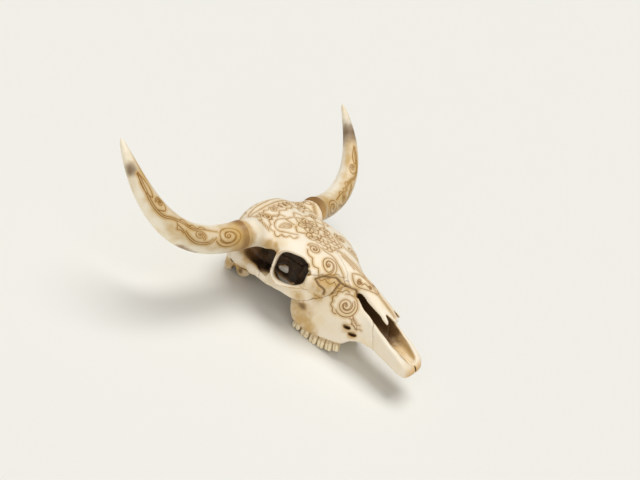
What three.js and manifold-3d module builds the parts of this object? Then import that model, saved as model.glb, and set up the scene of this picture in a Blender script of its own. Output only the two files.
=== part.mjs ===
// A bull's skull without its lower jaw, life size, lying on its cheek teeth and on the knobs
// under its ears. Millimetres, +Z up, +X to the animal's left, +Y towards the back of the head.
//
// The bone is first described as one field: a function that is negative inside the bone and
// positive outside it. The field is meshed, thinned, and then parted along the sutures into the
// bones that an anatomist names. The horns are swept along their own curve.
//
// Sizes are given in the skull's own frame: y runs back from the front of the premaxillae and
// z up from the chewing plane. The last group turns that frame so that the skull lies at rest.

import * as THREE from 'three';
import * as BufferGeometryUtils from 'three/addons/utils/BufferGeometryUtils.js';
import { SimplifyModifier } from 'three/addons/modifiers/SimplifyModifier.js';
import Module from 'manifold-3d';

const wasm = await Module();
wasm.setup();

const SUTURE_GAP = 0.3;
const REST_FLAT = 0.5;
const SLIVER = 0.05;
const ON_MIDDLE = 1e-4;

// Meshing of the left half: the pitch of the grid, the box it covers and the vertices that are kept.
const PITCH = 4;
const GRID_LOW = new THREE.Vector3(-9.26, -8.78, -23.34);
const GRID_HIGH = new THREE.Vector3(210, 530, 235);
const KEPT_VERTICES = 2100;

// Profiles along the skull: pairs of distance back from the front and a height or half width.
const RIDGE = [[60, 91], [87, 104], [113, 117], [145, 134], [176, 148], [202, 158], [262, 176], [349, 195],
  [410, 203], [455, 206], [490, 198]];
const ROOF_FALL = 30;
const ROOF_FALL_POWER = 2.3;
const ROOF_FALL_WIDTH = [[87, 58], [112, 49], [138, 40], [167, 35], [200, 34], [228, 62], [262, 96], [311, 122],
  [380, 114], [430, 94], [480, 89]];
const ROOF_HALF = [[185, 30], [205, 38], [228, 60], [262, 92], [290, 106], [318, 110], [345, 106], [368, 98],
  [395, 96], [428, 104], [462, 100], [490, 78]];
const ROOF_DEPTH = [[185, 36], [228, 44], [262, 50], [311, 48], [350, 52], [390, 66], [470, 80]];
const ROOF_FRONT = 186;

const FACE_HALF = [[0, 30], [16, 37], [31, 40], [50, 41], [78, 41], [104, 41], [129, 44], [150, 52], [165, 58],
  [200, 64], [236, 70], [262, 75], [290, 76], [310, 66]];
const FACE_TOP = [[0, 20], [10, 29], [26, 41], [39, 48], [50, 54], [67, 61], [86, 71], [98, 78], [127, 94],
  [150, 105], [167, 115], [185, 128], [200, 139], [240, 152], [310, 150]];
const FACE_BOTTOM = [[0, 13], [16, 10], [31, 11], [50, 17], [78, 25], [104, 31], [129, 32], [150, 27], [166, 12],
  [189, 5], [236, 0], [262, 4], [276, 9], [288, 20], [310, 58]];
const FACE_LEAN = [[0, 0], [110, 2], [129, 6], [150, 16], [167, 23], [200, 28], [232, 20], [262, 4], [310, 0]];
const LEAN_START = 60;
const FACE_BACK = 308;

const CAVITY_HALF = [[-20, 6], [8, 10], [20, 17], [30, 22], [60, 28], [98, 30], [127, 31], [167, 29], [205, 24]];
const CAVITY_FLOOR = [[-20, 60], [10, 36], [30, 28], [60, 34], [100, 41], [150, 46], [210, 54]];
const CAVITY_END = 216;

const NASAL_HALF = [[85, 29], [112, 27.5], [134, 26.5], [150, 25.5], [167, 24.5], [182, 27], [200, 34]];
const NASAL_THICK = 6.5;
const NASAL_FRONT = [[0, 86], [5, 83], [10, 92], [16, 107], [21, 99], [26, 91], [34, 96]];
const NASAL_BACK = 262;

// Bars are lists of [x, y, z, radius] on the left side; the right side is its mirror image.
const ARCH = [[84, 272, 92, 15], [93, 294, 82, 13], [99, 320, 79, 11.5], [99, 350, 78, 10.5], [95, 382, 79, 11],
  [88, 406, 81, 12.5], [78, 440, 86, 15]];
const ARCH_SQUASH = 0.66;
const PTERYGOID = [[33, 298, 60, 9], [28, 342, 72, 6], [26, 376, 72, 6], [20, 410, 84, 9]];
const JAW_HINGE = [[86, 404, 81, 11.5], [44, 420, 84, 13]];
const SKULL_BASE = [[0, 494, 66, 20], [0, 430, 88, 22], [0, 372, 124, 22], [0, 300, 126, 26]];
const MIDLINE_BAR = [[0, 22, 24, 6], [0, 100, 44, 6], [0, 205, 60, 7]];
const PARACONDYLE = [[66, 474, 80, 16], [56, 485, 39, 10.5]];
const PEDICLE = [[84, 424, 167, 28], [130, 414, 175, 27], [172, 417, 174, 28.5]];
const CHEEK = [[52, 236, 114, 22], [80, 262, 126, 21]];
const CHEEK_POST = [[76, 268, 92, 14], [64, 246, 58, 11]];
const SOCKET_INNER_WALL = [[20, 343, 120, 19], [18, 336, 84, 17], [16, 322, 56, 14]];
const TEMPLE_WALL = [[34, 398, 102, 18], [38, 440, 98, 20]];

// Eye socket: a short, slightly square tube whose wall spreads from the rim inwards.
const ORBIT_CENTRE = new THREE.Vector3(97, 310, 130);
const ORBIT_FACING = new THREE.Vector3(0.94, -0.24, 0.24).normalize();
const ORBIT_UP = new THREE.Vector3(0, 0, 1).projectOnPlane(ORBIT_FACING).normalize();
const ORBIT_POWER = 2.5;
const ORBIT_RADIUS = 37;
const ORBIT_EDGE = 2.5;
const ORBIT_WALL = 10.5;
const ORBIT_SPREAD = 0.3;
const ORBIT_LIP = 2;
const ORBIT_BAR_RADIUS = 3.4;

// Horn: a Bezier curve, with the radius falling to a blunt tip. Each sheath has its own place on
// the bony core: the left one is pushed home, the right one has slipped out along the curve.
const HORN_CURVE = [
  new THREE.Vector3(139, 413.5, 177),
  new THREE.Vector3(283, 438, 157),
  new THREE.Vector3(389.5, 449.6, 209.8),
  new THREE.Vector3(391.8, 569.9, 354.4),
];
const LEFT_HORN_START = -0.07;
const RIGHT_HORN_START = 0.042;
const HORN_SEAT = 60;
const HORN_RADIUS = 30;
const HORN_FALL_POWER = 2.17;
const HORN_BLUNT_POWER = 0.55;
const HORN_TIP_RADIUS = 1.2;
const HORN_RINGS = 26;
const HORN_SIDES = 18;
const COLLAR_RISE = 3;
const COLLAR_LENGTH = 0.05;

// Cheek teeth: six on each side, from the small first premolar to the last molar.
const TOOTH_LENGTHS = [15, 18, 19, 21, 24, 24];
const TOOTH_WIDTHS = [14, 17, 19, 21, 22, 20];
const TOOTH_FRONT_Y = 164.5;
const TOOTH_CHEEK_X = [[165, 57], [200, 63], [236, 67.5], [262, 69.5], [286, 69]];
const TOOTH_TIP_Z = [[160, 2], [166, -3], [180, -12], [204, -17.5], [228, -16.5], [254, -11.5], [268, -7],
  [284, -1]];
const TOOTH_ROOT_Z = 26;
const TOOTH_SIDES = 14;

const BONE = new THREE.MeshStandardMaterial({ color: 0xe9dcbc, roughness: 0.42, metalness: 0 });
const HORN = new THREE.MeshStandardMaterial({ color: 0xe6d6b2, roughness: 0.36, metalness: 0 });

const { clamp, lerp } = THREE.MathUtils;

// A smooth curve through pairs of numbers, flat beyond both ends.
function profile(pairs) {
  const slopes = pairs.map((pair, i) => {
    const before = pairs[Math.max(i - 1, 0)];
    const after = pairs[Math.min(i + 1, pairs.length - 1)];
    return (after[1] - before[1]) / (after[0] - before[0]);
  });
  return (at) => {
    if (at <= pairs[0][0]) return pairs[0][1];
    for (let i = 1; i < pairs.length; i++) {
      const [a, low] = pairs[i - 1];
      const [b, high] = pairs[i];
      if (at > b) continue;
      const span = b - a;
      const t = (at - a) / span;
      const bend = slopes[i - 1] * t * (1 - t) ** 2 - slopes[i] * t * t * (1 - t);
      return lerp(low, high, t * t * (3 - 2 * t)) + span * bend;
    }
    return pairs[pairs.length - 1][1];
  };
}

const ridge = profile(RIDGE);
const roofFallWidth = profile(ROOF_FALL_WIDTH);
const roofHalf = profile(ROOF_HALF);
const roofDepth = profile(ROOF_DEPTH);
const faceHalf = profile(FACE_HALF);
const faceTop = profile(FACE_TOP);
const faceBottom = profile(FACE_BOTTOM);
const faceLean = profile(FACE_LEAN);
const cavityHalf = profile(CAVITY_HALF);
const cavityFloor = profile(CAVITY_FLOOR);
const nasalHalf = profile(NASAL_HALF);
const nasalFront = profile(NASAL_FRONT);
const toothCheekX = profile(TOOTH_CHEEK_X);
const toothTipZ = profile(TOOTH_TIP_Z);

// Joining and cutting of fields, with a rounded seam of width k.
function join(a, b, k) {
  const h = Math.max(k - Math.abs(a - b), 0) / k;
  return Math.min(a, b) - h * h * k / 4;
}

function meet(a, b, k) {
  return -join(-a, -b, k);
}

function cut(a, b, k) {
  return meet(a, -b, k);
}

function ellipsoid(x, y, z, centre, radii) {
  const px = (x - centre[0]) / radii[0];
  const py = (y - centre[1]) / radii[1];
  const pz = (z - centre[2]) / radii[2];
  const k0 = Math.hypot(px, py, pz);
  const k1 = Math.hypot(px / radii[0], py / radii[1], pz / radii[2]);
  return k1 > 0 ? k0 * (k0 - 1) / k1 : -Math.min(...radii);
}

// A round bar through its stations; squash below 1 thins it along x.
function bar(x, y, z, stations, squash = 1) {
  let nearest = Infinity;
  for (let i = 1; i < stations.length; i++) {
    const a = stations[i - 1];
    const b = stations[i];
    const bx = (b[0] - a[0]) / squash;
    const by = b[1] - a[1];
    const bz = b[2] - a[2];
    const ax = (x - a[0]) / squash;
    const ay = y - a[1];
    const az = z - a[2];
    const t = clamp((ax * bx + ay * by + az * bz) / (bx * bx + by * by + bz * bz), 0, 1);
    const away = Math.hypot(ax - bx * t, ay - by * t, az - bz * t);
    nearest = Math.min(nearest, away - lerp(a[3], b[3], t));
  }
  return nearest;
}

// Height of the skull's upper surface: the ridge and its fall to the side.
function roofTop(x, y) {
  return ridge(y) - ROOF_FALL * (x / roofFallWidth(y)) ** ROOF_FALL_POWER;
}

// Forehead: a thick plate with rounded edges that ends in the crest between the horns.
function forehead(x, y, z) {
  const under = ridge(y) - roofDepth(y);
  const slab = meet(z - roofTop(x, y), under - z, 14);
  const sides = meet(slab, 0.85 * (x - roofHalf(y)), 30);
  const back = y - (480 + (205 - z) * 0.2);
  return meet(meet(sides, back, 26), ROOF_FRONT - y, 12);
}

// Face: the block of the two maxillae and premaxillae, before its hollows.
function face(x, y, z) {
  const top = faceTop(y);
  const rise = clamp((z - LEAN_START) / Math.max(top - LEAN_START, 20), 0, 1.15);
  const half = faceHalf(y) - faceLean(y) * rise ** 1.5;
  const walls = meet(x - half, z - top, 8);
  const closed = meet(walls, faceBottom(y) - z, 9);
  return meet(meet(closed, 5 + 0.004 * x * x - y, 10), y - FACE_BACK, 14);
}

// How much taller than thick a plate is where the roof falls to the side.
function roofSlant(x, y) {
  const width = roofFallWidth(y);
  const slope = ROOF_FALL * ROOF_FALL_POWER * (x / width) ** (ROOF_FALL_POWER - 1) / width;
  return Math.hypot(1, slope);
}

function nasalPlate(x, y, z) {
  const slant = roofSlant(x, y);
  const depth = (roofTop(x, y) - z) / slant;
  const plate = Math.abs(depth - NASAL_THICK / 2) - NASAL_THICK / 2;
  const sides = meet(plate, x - nasalHalf(y), 4);
  return meet(meet(sides, nasalFront(x) - y, 4), y - NASAL_BACK, 4);
}

function noseCavity(x, y, z) {
  const ceiling = roofTop(x, y) - (NASAL_THICK - 0.5) * roofSlant(x, y);
  const tube = meet(x - cavityHalf(y), cavityFloor(y) - z, 14);
  return meet(meet(tube, z - ceiling, 4), y - CAVITY_END, 20);
}

// Distance out along the eye socket's axis, and away from that axis in a slightly square sense.
function orbitPlace(x, y, z) {
  const px = x - ORBIT_CENTRE.x;
  const py = y - ORBIT_CENTRE.y;
  const pz = z - ORBIT_CENTRE.z;
  const out = px * ORBIT_FACING.x + py * ORBIT_FACING.y + pz * ORBIT_FACING.z;
  const rise = px * ORBIT_UP.x + py * ORBIT_UP.y + pz * ORBIT_UP.z;
  const across = Math.sqrt(Math.max(px * px + py * py + pz * pz - out * out - rise * rise, 0));
  return [out, (across ** ORBIT_POWER + Math.abs(rise) ** ORBIT_POWER) ** (1 / ORBIT_POWER)];
}

// The skull without horns and teeth; both sides are alike, so only the left is meshed.
function skull(sideX, y, z) {
  const x = Math.abs(sideX);
  const [orbitOut, orbitAway] = orbitPlace(x, y, z);
  let bone = join(forehead(x, y, z), bar(x, y, z, PEDICLE), 24);

  // Braincase, back wall and the base that runs forward under it.
  let brain = ellipsoid(x, y, z, [0, 424, 140], [66, 82, 62]);
  brain = join(brain, ellipsoid(x, y, z, [0, 462, 112], [88, 36, 62]), 20);
  brain = join(brain, bar(x, y, z, SKULL_BASE), 18);
  brain = join(brain, ellipsoid(x, y, z, [74, 446, 86], [20, 30, 22]), 14);
  brain = meet(brain, y - (472 + (205 - z) * 0.24), 16);
  bone = join(bone, brain, 14);

  // Face, cheek and the walls of the eye sockets.
  bone = join(bone, face(x, y, z), 10);
  bone = join(bone, ellipsoid(x, y, z, [0, 292, 118], [44, 62, 52]), 14);
  bone = join(bone, bar(x, y, z, CHEEK), 18);
  bone = join(bone, bar(x, y, z, CHEEK_POST), 18);
  bone = join(bone, bar(x, y, z, SOCKET_INNER_WALL), 12);
  bone = join(bone, bar(x, y, z, TEMPLE_WALL), 12);
  bone = cut(bone, ellipsoid(x, y, z, [100, 257, 70], [29, 32, 20]), 16);
  bone = cut(bone, ellipsoid(x, y, z, [92, 233, 142], [18, 22, 16]), 12);
  const orbitWall = Math.min(ORBIT_EDGE + ORBIT_SPREAD * (ORBIT_LIP - orbitOut), ORBIT_WALL);
  const orbitTube = meet(meet(orbitAway - ORBIT_RADIUS - orbitWall, orbitOut - ORBIT_LIP, 6), -52 - orbitOut, 10);
  bone = join(bone, orbitTube, 10);

  // Hollows: eye socket, temple, the space behind the cheek, palate vault and inner nostrils.
  const socketRadius = ORBIT_RADIUS + 0.12 * orbitOut;
  bone = cut(bone, meet(orbitAway - socketRadius, -46 - orbitOut, 24), 5);
  bone = cut(bone, bar(x, y, z, [[68, 330, 126, 29], [64, 356, 118, 25]]), 6);
  bone = cut(bone, ellipsoid(x, y, z, [106, 401, 112], [40, 50, 30]), 10);
  bone = cut(bone, bar(x, y, z, [[66, 328, 82, 21], [66, 384, 84, 20]]), 8);
  bone = cut(bone, ellipsoid(x, y, z, [0, 226, -12], [45, 112, 40]), 10);
  bone = cut(bone, bar(x, y, z, [[0, 300, 48, 20], [0, 346, 76, 15]]), 8);

  // Rims, bars and knobs stand free, so they come after the hollows.
  const rimAway = Math.hypot(orbitAway - ORBIT_RADIUS - 2, 0.6 * orbitOut);
  bone = join(bone, rimAway - ORBIT_BAR_RADIUS, 6);
  bone = join(bone, bar(x, y, z, ARCH, ARCH_SQUASH), 9);
  bone = join(bone, bar(x, y, z, PTERYGOID), 8);
  bone = join(bone, bar(x, y, z, JAW_HINGE), 8);
  bone = join(bone, bar(x, y, z, PARACONDYLE), 12);
  bone = join(bone, ellipsoid(x, y, z, [11, 420, 66], [15, 24, 18]), 10);
  bone = join(bone, ellipsoid(x, y, z, [52, 448, 47], [14, 19, 18]), 10);
  bone = join(bone, ellipsoid(x, y, z, [44, 412, 64], [15, 26, 14]), 10);
  bone = join(bone, ellipsoid(x, y, z, [27, 496, 58], [18, 16, 20]), 8);
  bone = cut(bone, ellipsoid(x, y, z, [0, 512, 76], [18, 30, 16]), 6);
  bone = cut(bone, ellipsoid(x, y, z, [113, 290, 92], [16, 24, 11]), 10);

  // Nose: the cavity is cleared first, then roofed by the nasal bones.
  bone = cut(bone, noseCavity(x, y, z), 6);
  bone = cut(bone, bar(x, y, z, [[19, 40, 13, 9], [20, 98, 23, 11]]), 4);
  bone = join(bone, nasalPlate(x, y, z), 3);
  return join(bone, bar(x, y, z, MIDLINE_BAR, 0.8), 5);
}

// Meshing: each grid cube is six tetrahedra round one diagonal, so the surface always closes.
const CUBE_CORNERS = [[0, 0, 0], [1, 0, 0], [0, 1, 0], [1, 1, 0], [0, 0, 1], [1, 0, 1], [0, 1, 1], [1, 1, 1]];
const TETRAHEDRA = [[0, 1, 3, 7], [0, 3, 2, 7], [0, 2, 6, 7], [0, 6, 4, 7], [0, 4, 5, 7], [0, 5, 1, 7]];
const EDGE_MARGIN = 0.06;

function meshField(field) {
  const size = new THREE.Vector3().subVectors(GRID_HIGH, GRID_LOW).divideScalar(PITCH).ceil().addScalar(1);
  const strideY = size.x;
  const strideZ = size.x * size.y;
  const values = new Float64Array(size.x * size.y * size.z);
  const positions = [];
  const triangles = [];
  const edgeVertex = new Map();

  function place(index) {
    const i = index % strideY;
    const j = Math.floor(index / strideY) % size.y;
    const k = Math.floor(index / strideZ);
    return new THREE.Vector3(i, j, k).multiplyScalar(PITCH).add(GRID_LOW);
  }

  function vertexOn(a, b) {
    const key = Math.min(a, b) * values.length + Math.max(a, b);
    if (!edgeVertex.has(key)) {
      const t = clamp(values[a] / (values[a] - values[b]), EDGE_MARGIN, 1 - EDGE_MARGIN);
      edgeVertex.set(key, positions.length / 3);
      positions.push(...place(a).lerp(place(b), t));
    }
    return edgeVertex.get(key);
  }

  function fillTetrahedron(corners) {
    const inside = corners.filter((corner) => values[corner] < 0);
    const outside = corners.filter((corner) => values[corner] >= 0);
    let ring = [];
    if (inside.length === 1) ring = outside.map((corner) => vertexOn(inside[0], corner));
    if (outside.length === 1) ring = inside.map((corner) => vertexOn(corner, outside[0]));
    if (inside.length === 2) {
      ring = [vertexOn(inside[0], outside[0]), vertexOn(inside[0], outside[1]),
        vertexOn(inside[1], outside[1]), vertexOn(inside[1], outside[0])];
    }
    if (ring.length === 0) return;
    const [a, b, c] = ring.map((vertex) => new THREE.Vector3().fromArray(positions, vertex * 3));
    const normal = b.clone().sub(a).cross(c.clone().sub(a));
    const outward = new THREE.Vector3();
    outside.forEach((corner) => outward.addScaledVector(place(corner), 1 / outside.length));
    inside.forEach((corner) => outward.addScaledVector(place(corner), -1 / inside.length));
    if (normal.dot(outward) < 0) ring.reverse();
    for (let n = 2; n < ring.length; n++) triangles.push(ring[0], ring[n - 1], ring[n]);
  }

  for (let index = 0; index < values.length; index++) {
    values[index] = field(...place(index)) || Number.EPSILON;
  }
  for (let index = 0; index < values.length; index++) {
    const [i, j, k] = [index % strideY, Math.floor(index / strideY) % size.y, Math.floor(index / strideZ)];
    if (i === size.x - 1 || j === size.y - 1 || k === size.z - 1) continue;
    const cube = CUBE_CORNERS.map(([a, b, c]) => index + a + b * strideY + c * strideZ);
    const filled = cube.filter((corner) => values[corner] < 0).length;
    if (filled === 0 || filled === cube.length) continue;
    TETRAHEDRA.forEach((tetrahedron) => fillTetrahedron(tetrahedron.map((n) => cube[n])));
  }
  return indexed(positions, triangles);
}

function indexed(positions, triangles) {
  const geometry = new THREE.BufferGeometry();
  geometry.setAttribute('position', new THREE.Float32BufferAttribute(positions, 3));
  geometry.setIndex(triangles);
  return geometry;
}

// Thinning can press a thin edge flat, which leaves two faces on the same three corners; both go.
function withoutFlaps(geometry) {
  const faces = new Map();
  for (let n = 0; n < geometry.index.count; n += 3) {
    const corners = Array.from(geometry.index.array.slice(n, n + 3));
    const key = corners.toSorted((a, b) => a - b).join(' ');
    if (faces.has(key)) faces.delete(key);
    else faces.set(key, corners);
  }
  return indexed(Array.from(geometry.attributes.position.array), [...faces.values()].flat());
}

// Between three's geometry and solids that can be joined and cut.
function solidOf(geometry) {
  const bare = geometry.clone();
  bare.deleteAttribute('normal');
  bare.deleteAttribute('uv');
  const merged = BufferGeometryUtils.mergeVertices(bare, 1e-4);
  return new wasm.Manifold(new wasm.Mesh({
    numProp: 3,
    vertProperties: new Float32Array(merged.attributes.position.array),
    triVerts: new Uint32Array(merged.index.array),
  }));
}

function geometryOf(solid) {
  const mesh = solid.getMesh();
  const geometry = indexed(Array.from(mesh.vertProperties), Array.from(mesh.triVerts));
  geometry.computeVertexNormals();
  return geometry;
}

function largest(solid) {
  return solid.decompose().reduce((best, body) => (body.volume() > best.volume() ? body : best));
}

// Skin of a swept shape: rings of equal count, closed at both ends by a middle point.
function closedLoft(rings, firstMiddle, lastMiddle) {
  const sides = rings[0].length;
  const points = [...rings.flat(), firstMiddle, lastMiddle];
  const first = points.length - 2;
  const last = points.length - 1;
  const triangles = [];
  for (let n = 0; n < sides; n++) {
    const m = (n + 1) % sides;
    for (let ring = 0; ring + 1 < rings.length; ring++) {
      const low = ring * sides;
      const high = low + sides;
      triangles.push(low + n, low + m, high + m, low + n, high + m, high + n);
    }
    const end = (rings.length - 1) * sides;
    triangles.push(first, m, n, last, end + n, end + m);
  }
  return indexed(points.flatMap((point) => point.toArray()), triangles);
}

// A solid's mirror image across the middle plane, with its faces turned back outwards. A half that
// lies against that plane can keep its own faces too, so that both halves make one closed skin.
function mirrored(solid, keepHalf = false) {
  const mesh = solid.getMesh();
  const count = mesh.vertProperties.length / 3;
  const positions = Array.from(mesh.vertProperties);
  const onMiddle = (vertex) => Math.abs(positions[vertex * 3]) < ON_MIDDLE;
  for (let vertex = 0; vertex < count; vertex++) {
    const [x, y, z] = positions.slice(vertex * 3, vertex * 3 + 3);
    positions.push(-x, y, z);
  }
  const triangles = [];
  for (let n = 0; n < mesh.triVerts.length; n += 3) {
    const [a, b, c] = mesh.triVerts.slice(n, n + 3);
    if (keepHalf && [a, b, c].every(onMiddle)) continue;
    if (keepHalf) triangles.push(a, b, c);
    const [d, e, f] = [a, c, b].map((vertex) => (keepHalf && onMiddle(vertex) ? vertex : vertex + count));
    triangles.push(d, e, f);
  }
  return solidOf(indexed(positions, triangles));
}

// The part of the horn's curve from a start to the tip, as a curve of its own.
function curveFrom(start) {
  let level = HORN_CURVE;
  const kept = [level[level.length - 1]];
  while (level.length > 1) {
    level = level.slice(1).map((point, n) => level[n].clone().lerp(point, start));
    kept.unshift(level[level.length - 1]);
  }
  return new THREE.CubicBezierCurve3(...kept);
}

// Horn with its rough collar, swept along its curve, on the left side.

function hornRadius(t) {
  const body = HORN_RADIUS * (1 - t ** HORN_FALL_POWER) ** HORN_BLUNT_POWER;
  return Math.max(body + COLLAR_RISE * Math.max(0, 1 - t / COLLAR_LENGTH), HORN_TIP_RADIUS);
}

function hornGeometry(curve) {
  const rings = [];
  const up = new THREE.Vector3(0, 0, 1);
  for (let ring = 0; ring <= HORN_RINGS; ring++) {
    const t = ring / HORN_RINGS;
    const along = curve.getTangent(t);
    const across = along.clone().cross(up).normalize();
    const over = across.clone().cross(along);
    rings.push(Array.from({ length: HORN_SIDES }, (_, n) => {
      const angle = 2 * Math.PI * n / HORN_SIDES;
      return curve.getPoint(t)
        .addScaledVector(over, hornRadius(t) * Math.cos(angle))
        .addScaledVector(across, hornRadius(t) * Math.sin(angle));
    }));
  }
  return closedLoft(rings, curve.getPoint(0), curve.getPoint(1));
}

// One cheek tooth on the left: two pillars on the cheek side, bevelled at the chewing end.
function toothGeometry(middleY, length, width) {
  const tipZ = toothTipZ(middleY);
  const middleX = toothCheekX(middleY) - width / 2;
  const slope = (toothTipZ(middleY + length / 2) - toothTipZ(middleY - length / 2)) / length;
  const levels = [[tipZ, 0.78], [tipZ + 3, 0.98], [TOOTH_ROOT_Z, 0.86]];
  const rings = levels.map(([z, scale], level) => Array.from({ length: TOOTH_SIDES }, (_, n) => {
    const angle = 2 * Math.PI * n / TOOTH_SIDES;
    const pillars = 1 + 0.07 * Math.cos(4 * angle);
    const across = Math.sign(Math.cos(angle)) * Math.abs(Math.cos(angle)) ** 0.7;
    const along = Math.sign(Math.sin(angle)) * Math.abs(Math.sin(angle)) ** 0.7;
    const y = along * (length / 2) * scale * pillars;
    const lift = level < 2 ? slope * y : 0;
    return new THREE.Vector3(middleX + across * (width / 2) * scale * pillars, middleY + y, z + lift);
  }));
  const tip = new THREE.Vector3(middleX, middleY, tipZ + 1.2);
  const root = new THREE.Vector3(middleX, middleY, TOOTH_ROOT_Z + 1);
  return closedLoft(rings, tip, root);
}

function toothRow() {
  let frontY = TOOTH_FRONT_Y;
  return TOOTH_LENGTHS.map((length, n) => {
    const middleY = frontY + length / 2;
    frontY += length;
    return toothGeometry(middleY, length - 0.6, TOOTH_WIDTHS[n]);
  });
}

// Sutures: the outline of each bone as a prism, either seen from the side or from above.
function grown(outline, margin) {
  const count = outline.length;
  return outline.map((point, n) => {
    const before = outline[(n + count - 1) % count];
    const after = outline[(n + 1) % count];
    const first = new THREE.Vector2(point[1] - before[1], before[0] - point[0]).normalize();
    const second = new THREE.Vector2(after[1] - point[1], point[0] - after[0]).normalize();
    const step = first.clone().add(second).multiplyScalar(margin / (1 + first.dot(second)));
    return new THREE.Vector2(point[0] + step.x, point[1] + step.y);
  });
}

function prism(outline, low, high, margin) {
  const geometry = new THREE.ExtrudeGeometry(new THREE.Shape(grown(outline, margin)), {
    depth: high - low + 2 * margin,
    bevelEnabled: false,
  });
  return geometry.translate(0, 0, low - margin);
}

// Outlines of y and z, anticlockwise, drawn out along x; then outlines of x and y, drawn up along z.
const toSide = new THREE.Matrix4().makeBasis(
  new THREE.Vector3(0, 1, 0), new THREE.Vector3(0, 0, 1), new THREE.Vector3(1, 0, 0));

function sideRegion(outline, low, high) {
  return (margin) => solidOf(prism(outline, low, high, margin).applyMatrix4(toSide));
}

function planRegion(outline, low, high) {
  return (margin) => solidOf(prism(outline, low, high, margin));
}

const PREMAXILLA = [[-20, -5], [90, -5], [95, 30], [126, 103], [129, 108], [108, 97], [80, 89], [-20, 89]];
const NASAL_SIDE = [[55, 74], [87, 84], [112, 93], [138, 104], [167, 117], [200, 124], [225, 138], [262, 158],
  [280, 166], [280, 240], [55, 240]];
const NASAL_PLAN = [[-5, 60], [33, 60], [33, 196], [23, 226], [11, 256], [0, 272], [-5, 272]];
const MAXILLA = [[60, -40], [330, -40], [330, 48], [302, 62], [264, 78], [238, 94], [214, 116], [200, 137],
  [200, 175], [60, 175]];
const ZYGOMATIC = [[238, 94], [264, 78], [302, 62], [330, 50], [374, 50], [382, 94], [366, 100], [366, 121],
  [320, 121], [292, 113], [262, 108]];
const LACRIMAL = [[200, 137], [214, 116], [238, 94], [262, 108], [292, 113], [292, 142], [262, 142], [226, 149]];
const FRONTAL = [[170, 137], [200, 137], [226, 149], [262, 142], [292, 142], [320, 121], [366, 121], [374, 132],
  [428, 128], [452, 143], [560, 150], [560, 270], [170, 270]];
const HALF_SKULL = [[-50, -80], [620, -80], [620, 420], [-50, 420]];
const INNER_CHEEK = 56;
const INNER_LACRIMAL = 38;
const OUTSIDE = 220;
const HEIGHT_ABOVE = 260;

// The pedicle ends flat where the horn starts.
function beyondPedicle(curve) {
  const size = 2 * HORN_SEAT;
  const block = new THREE.BoxGeometry(size, size, size).translate(0, 0, HORN_SEAT - SUTURE_GAP);
  const along = curve.getTangent(0);
  block.applyQuaternion(new THREE.Quaternion().setFromUnitVectors(new THREE.Vector3(0, 0, 1), along));
  return solidOf(block.translate(...curve.getPoint(0)));
}

// Parts what is left of the skull: the bone inside all of the regions, and the rest outside them.
function partBone(rest, ...regions) {
  const shared = (margin) => regions.map((region) => region(margin)).reduce((a, b) => a.intersect(b));
  return [largest(rest.intersect(shared(0))), rest.subtract(shared(SUTURE_GAP))];
}

const whole = meshField((x, y, z) => Math.max(skull(x, y, z), -PITCH - x));
const surplus = whole.attributes.position.count - KEPT_VERTICES;
const thinned = withoutFlaps(await new SimplifyModifier().modify(whole, surplus));
const leftHalf = sideRegion(HALF_SKULL, 0, OUTSIDE)(0);
const leftOfGap = sideRegion(HALF_SKULL, SUTURE_GAP / 2, OUTSIDE)(0);

// Bones of the left side, then the two that cross the middle as their left halves.
const paired = {};
const leftHorn = curveFrom(LEFT_HORN_START);
const rightHorn = curveFrom(RIGHT_HORN_START);
let rest = largest(solidOf(thinned).intersect(leftHalf).subtract(beyondPedicle(rightHorn)));
[paired.premaxilla, rest] = partBone(rest, sideRegion(PREMAXILLA, -OUTSIDE, OUTSIDE));
[paired.nasal, rest] = partBone(rest, sideRegion(NASAL_SIDE, -OUTSIDE, OUTSIDE), planRegion(NASAL_PLAN, 0, HEIGHT_ABOVE));
[paired.maxilla, rest] = partBone(rest, sideRegion(MAXILLA, -OUTSIDE, OUTSIDE));
[paired.zygomatic, rest] = partBone(rest, sideRegion(ZYGOMATIC, INNER_CHEEK, OUTSIDE));
[paired.lacrimal, rest] = partBone(rest, sideRegion(LACRIMAL, INNER_LACRIMAL, OUTSIDE));
const [frontalHalf, braincaseHalf] = partBone(rest, sideRegion(FRONTAL, -OUTSIDE, OUTSIDE));
for (const tooth of toothRow()) paired.maxilla = paired.maxilla.add(solidOf(tooth));

const bones = {};
for (const [name, solid] of Object.entries(paired)) {
  const left = largest(solid.intersect(leftOfGap)).simplify(SLIVER);
  bones[`${name}_left`] = left;
  bones[`${name}_right`] = mirrored(left);
}
bones.frontal = largest(mirrored(frontalHalf.simplify(SLIVER), true).subtract(beyondPedicle(leftHorn)));
bones.braincase = mirrored(largest(braincaseHalf).simplify(SLIVER), true);
bones.horn_left = solidOf(hornGeometry(leftHorn));
bones.horn_right = mirrored(solidOf(hornGeometry(rightHorn)));

// Rest: the skull tips back until its teeth and the knobs behind the ears are level.
function lowestPoint(solid, tilt) {
  const { vertProperties } = solid.getMesh();
  let lowest = Infinity;
  for (let n = 0; n < vertProperties.length; n += 3) {
    const level = vertProperties[n + 2] * Math.cos(tilt) - vertProperties[n + 1] * Math.sin(tilt);
    lowest = Math.min(lowest, level);
  }
  return lowest;
}

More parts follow.
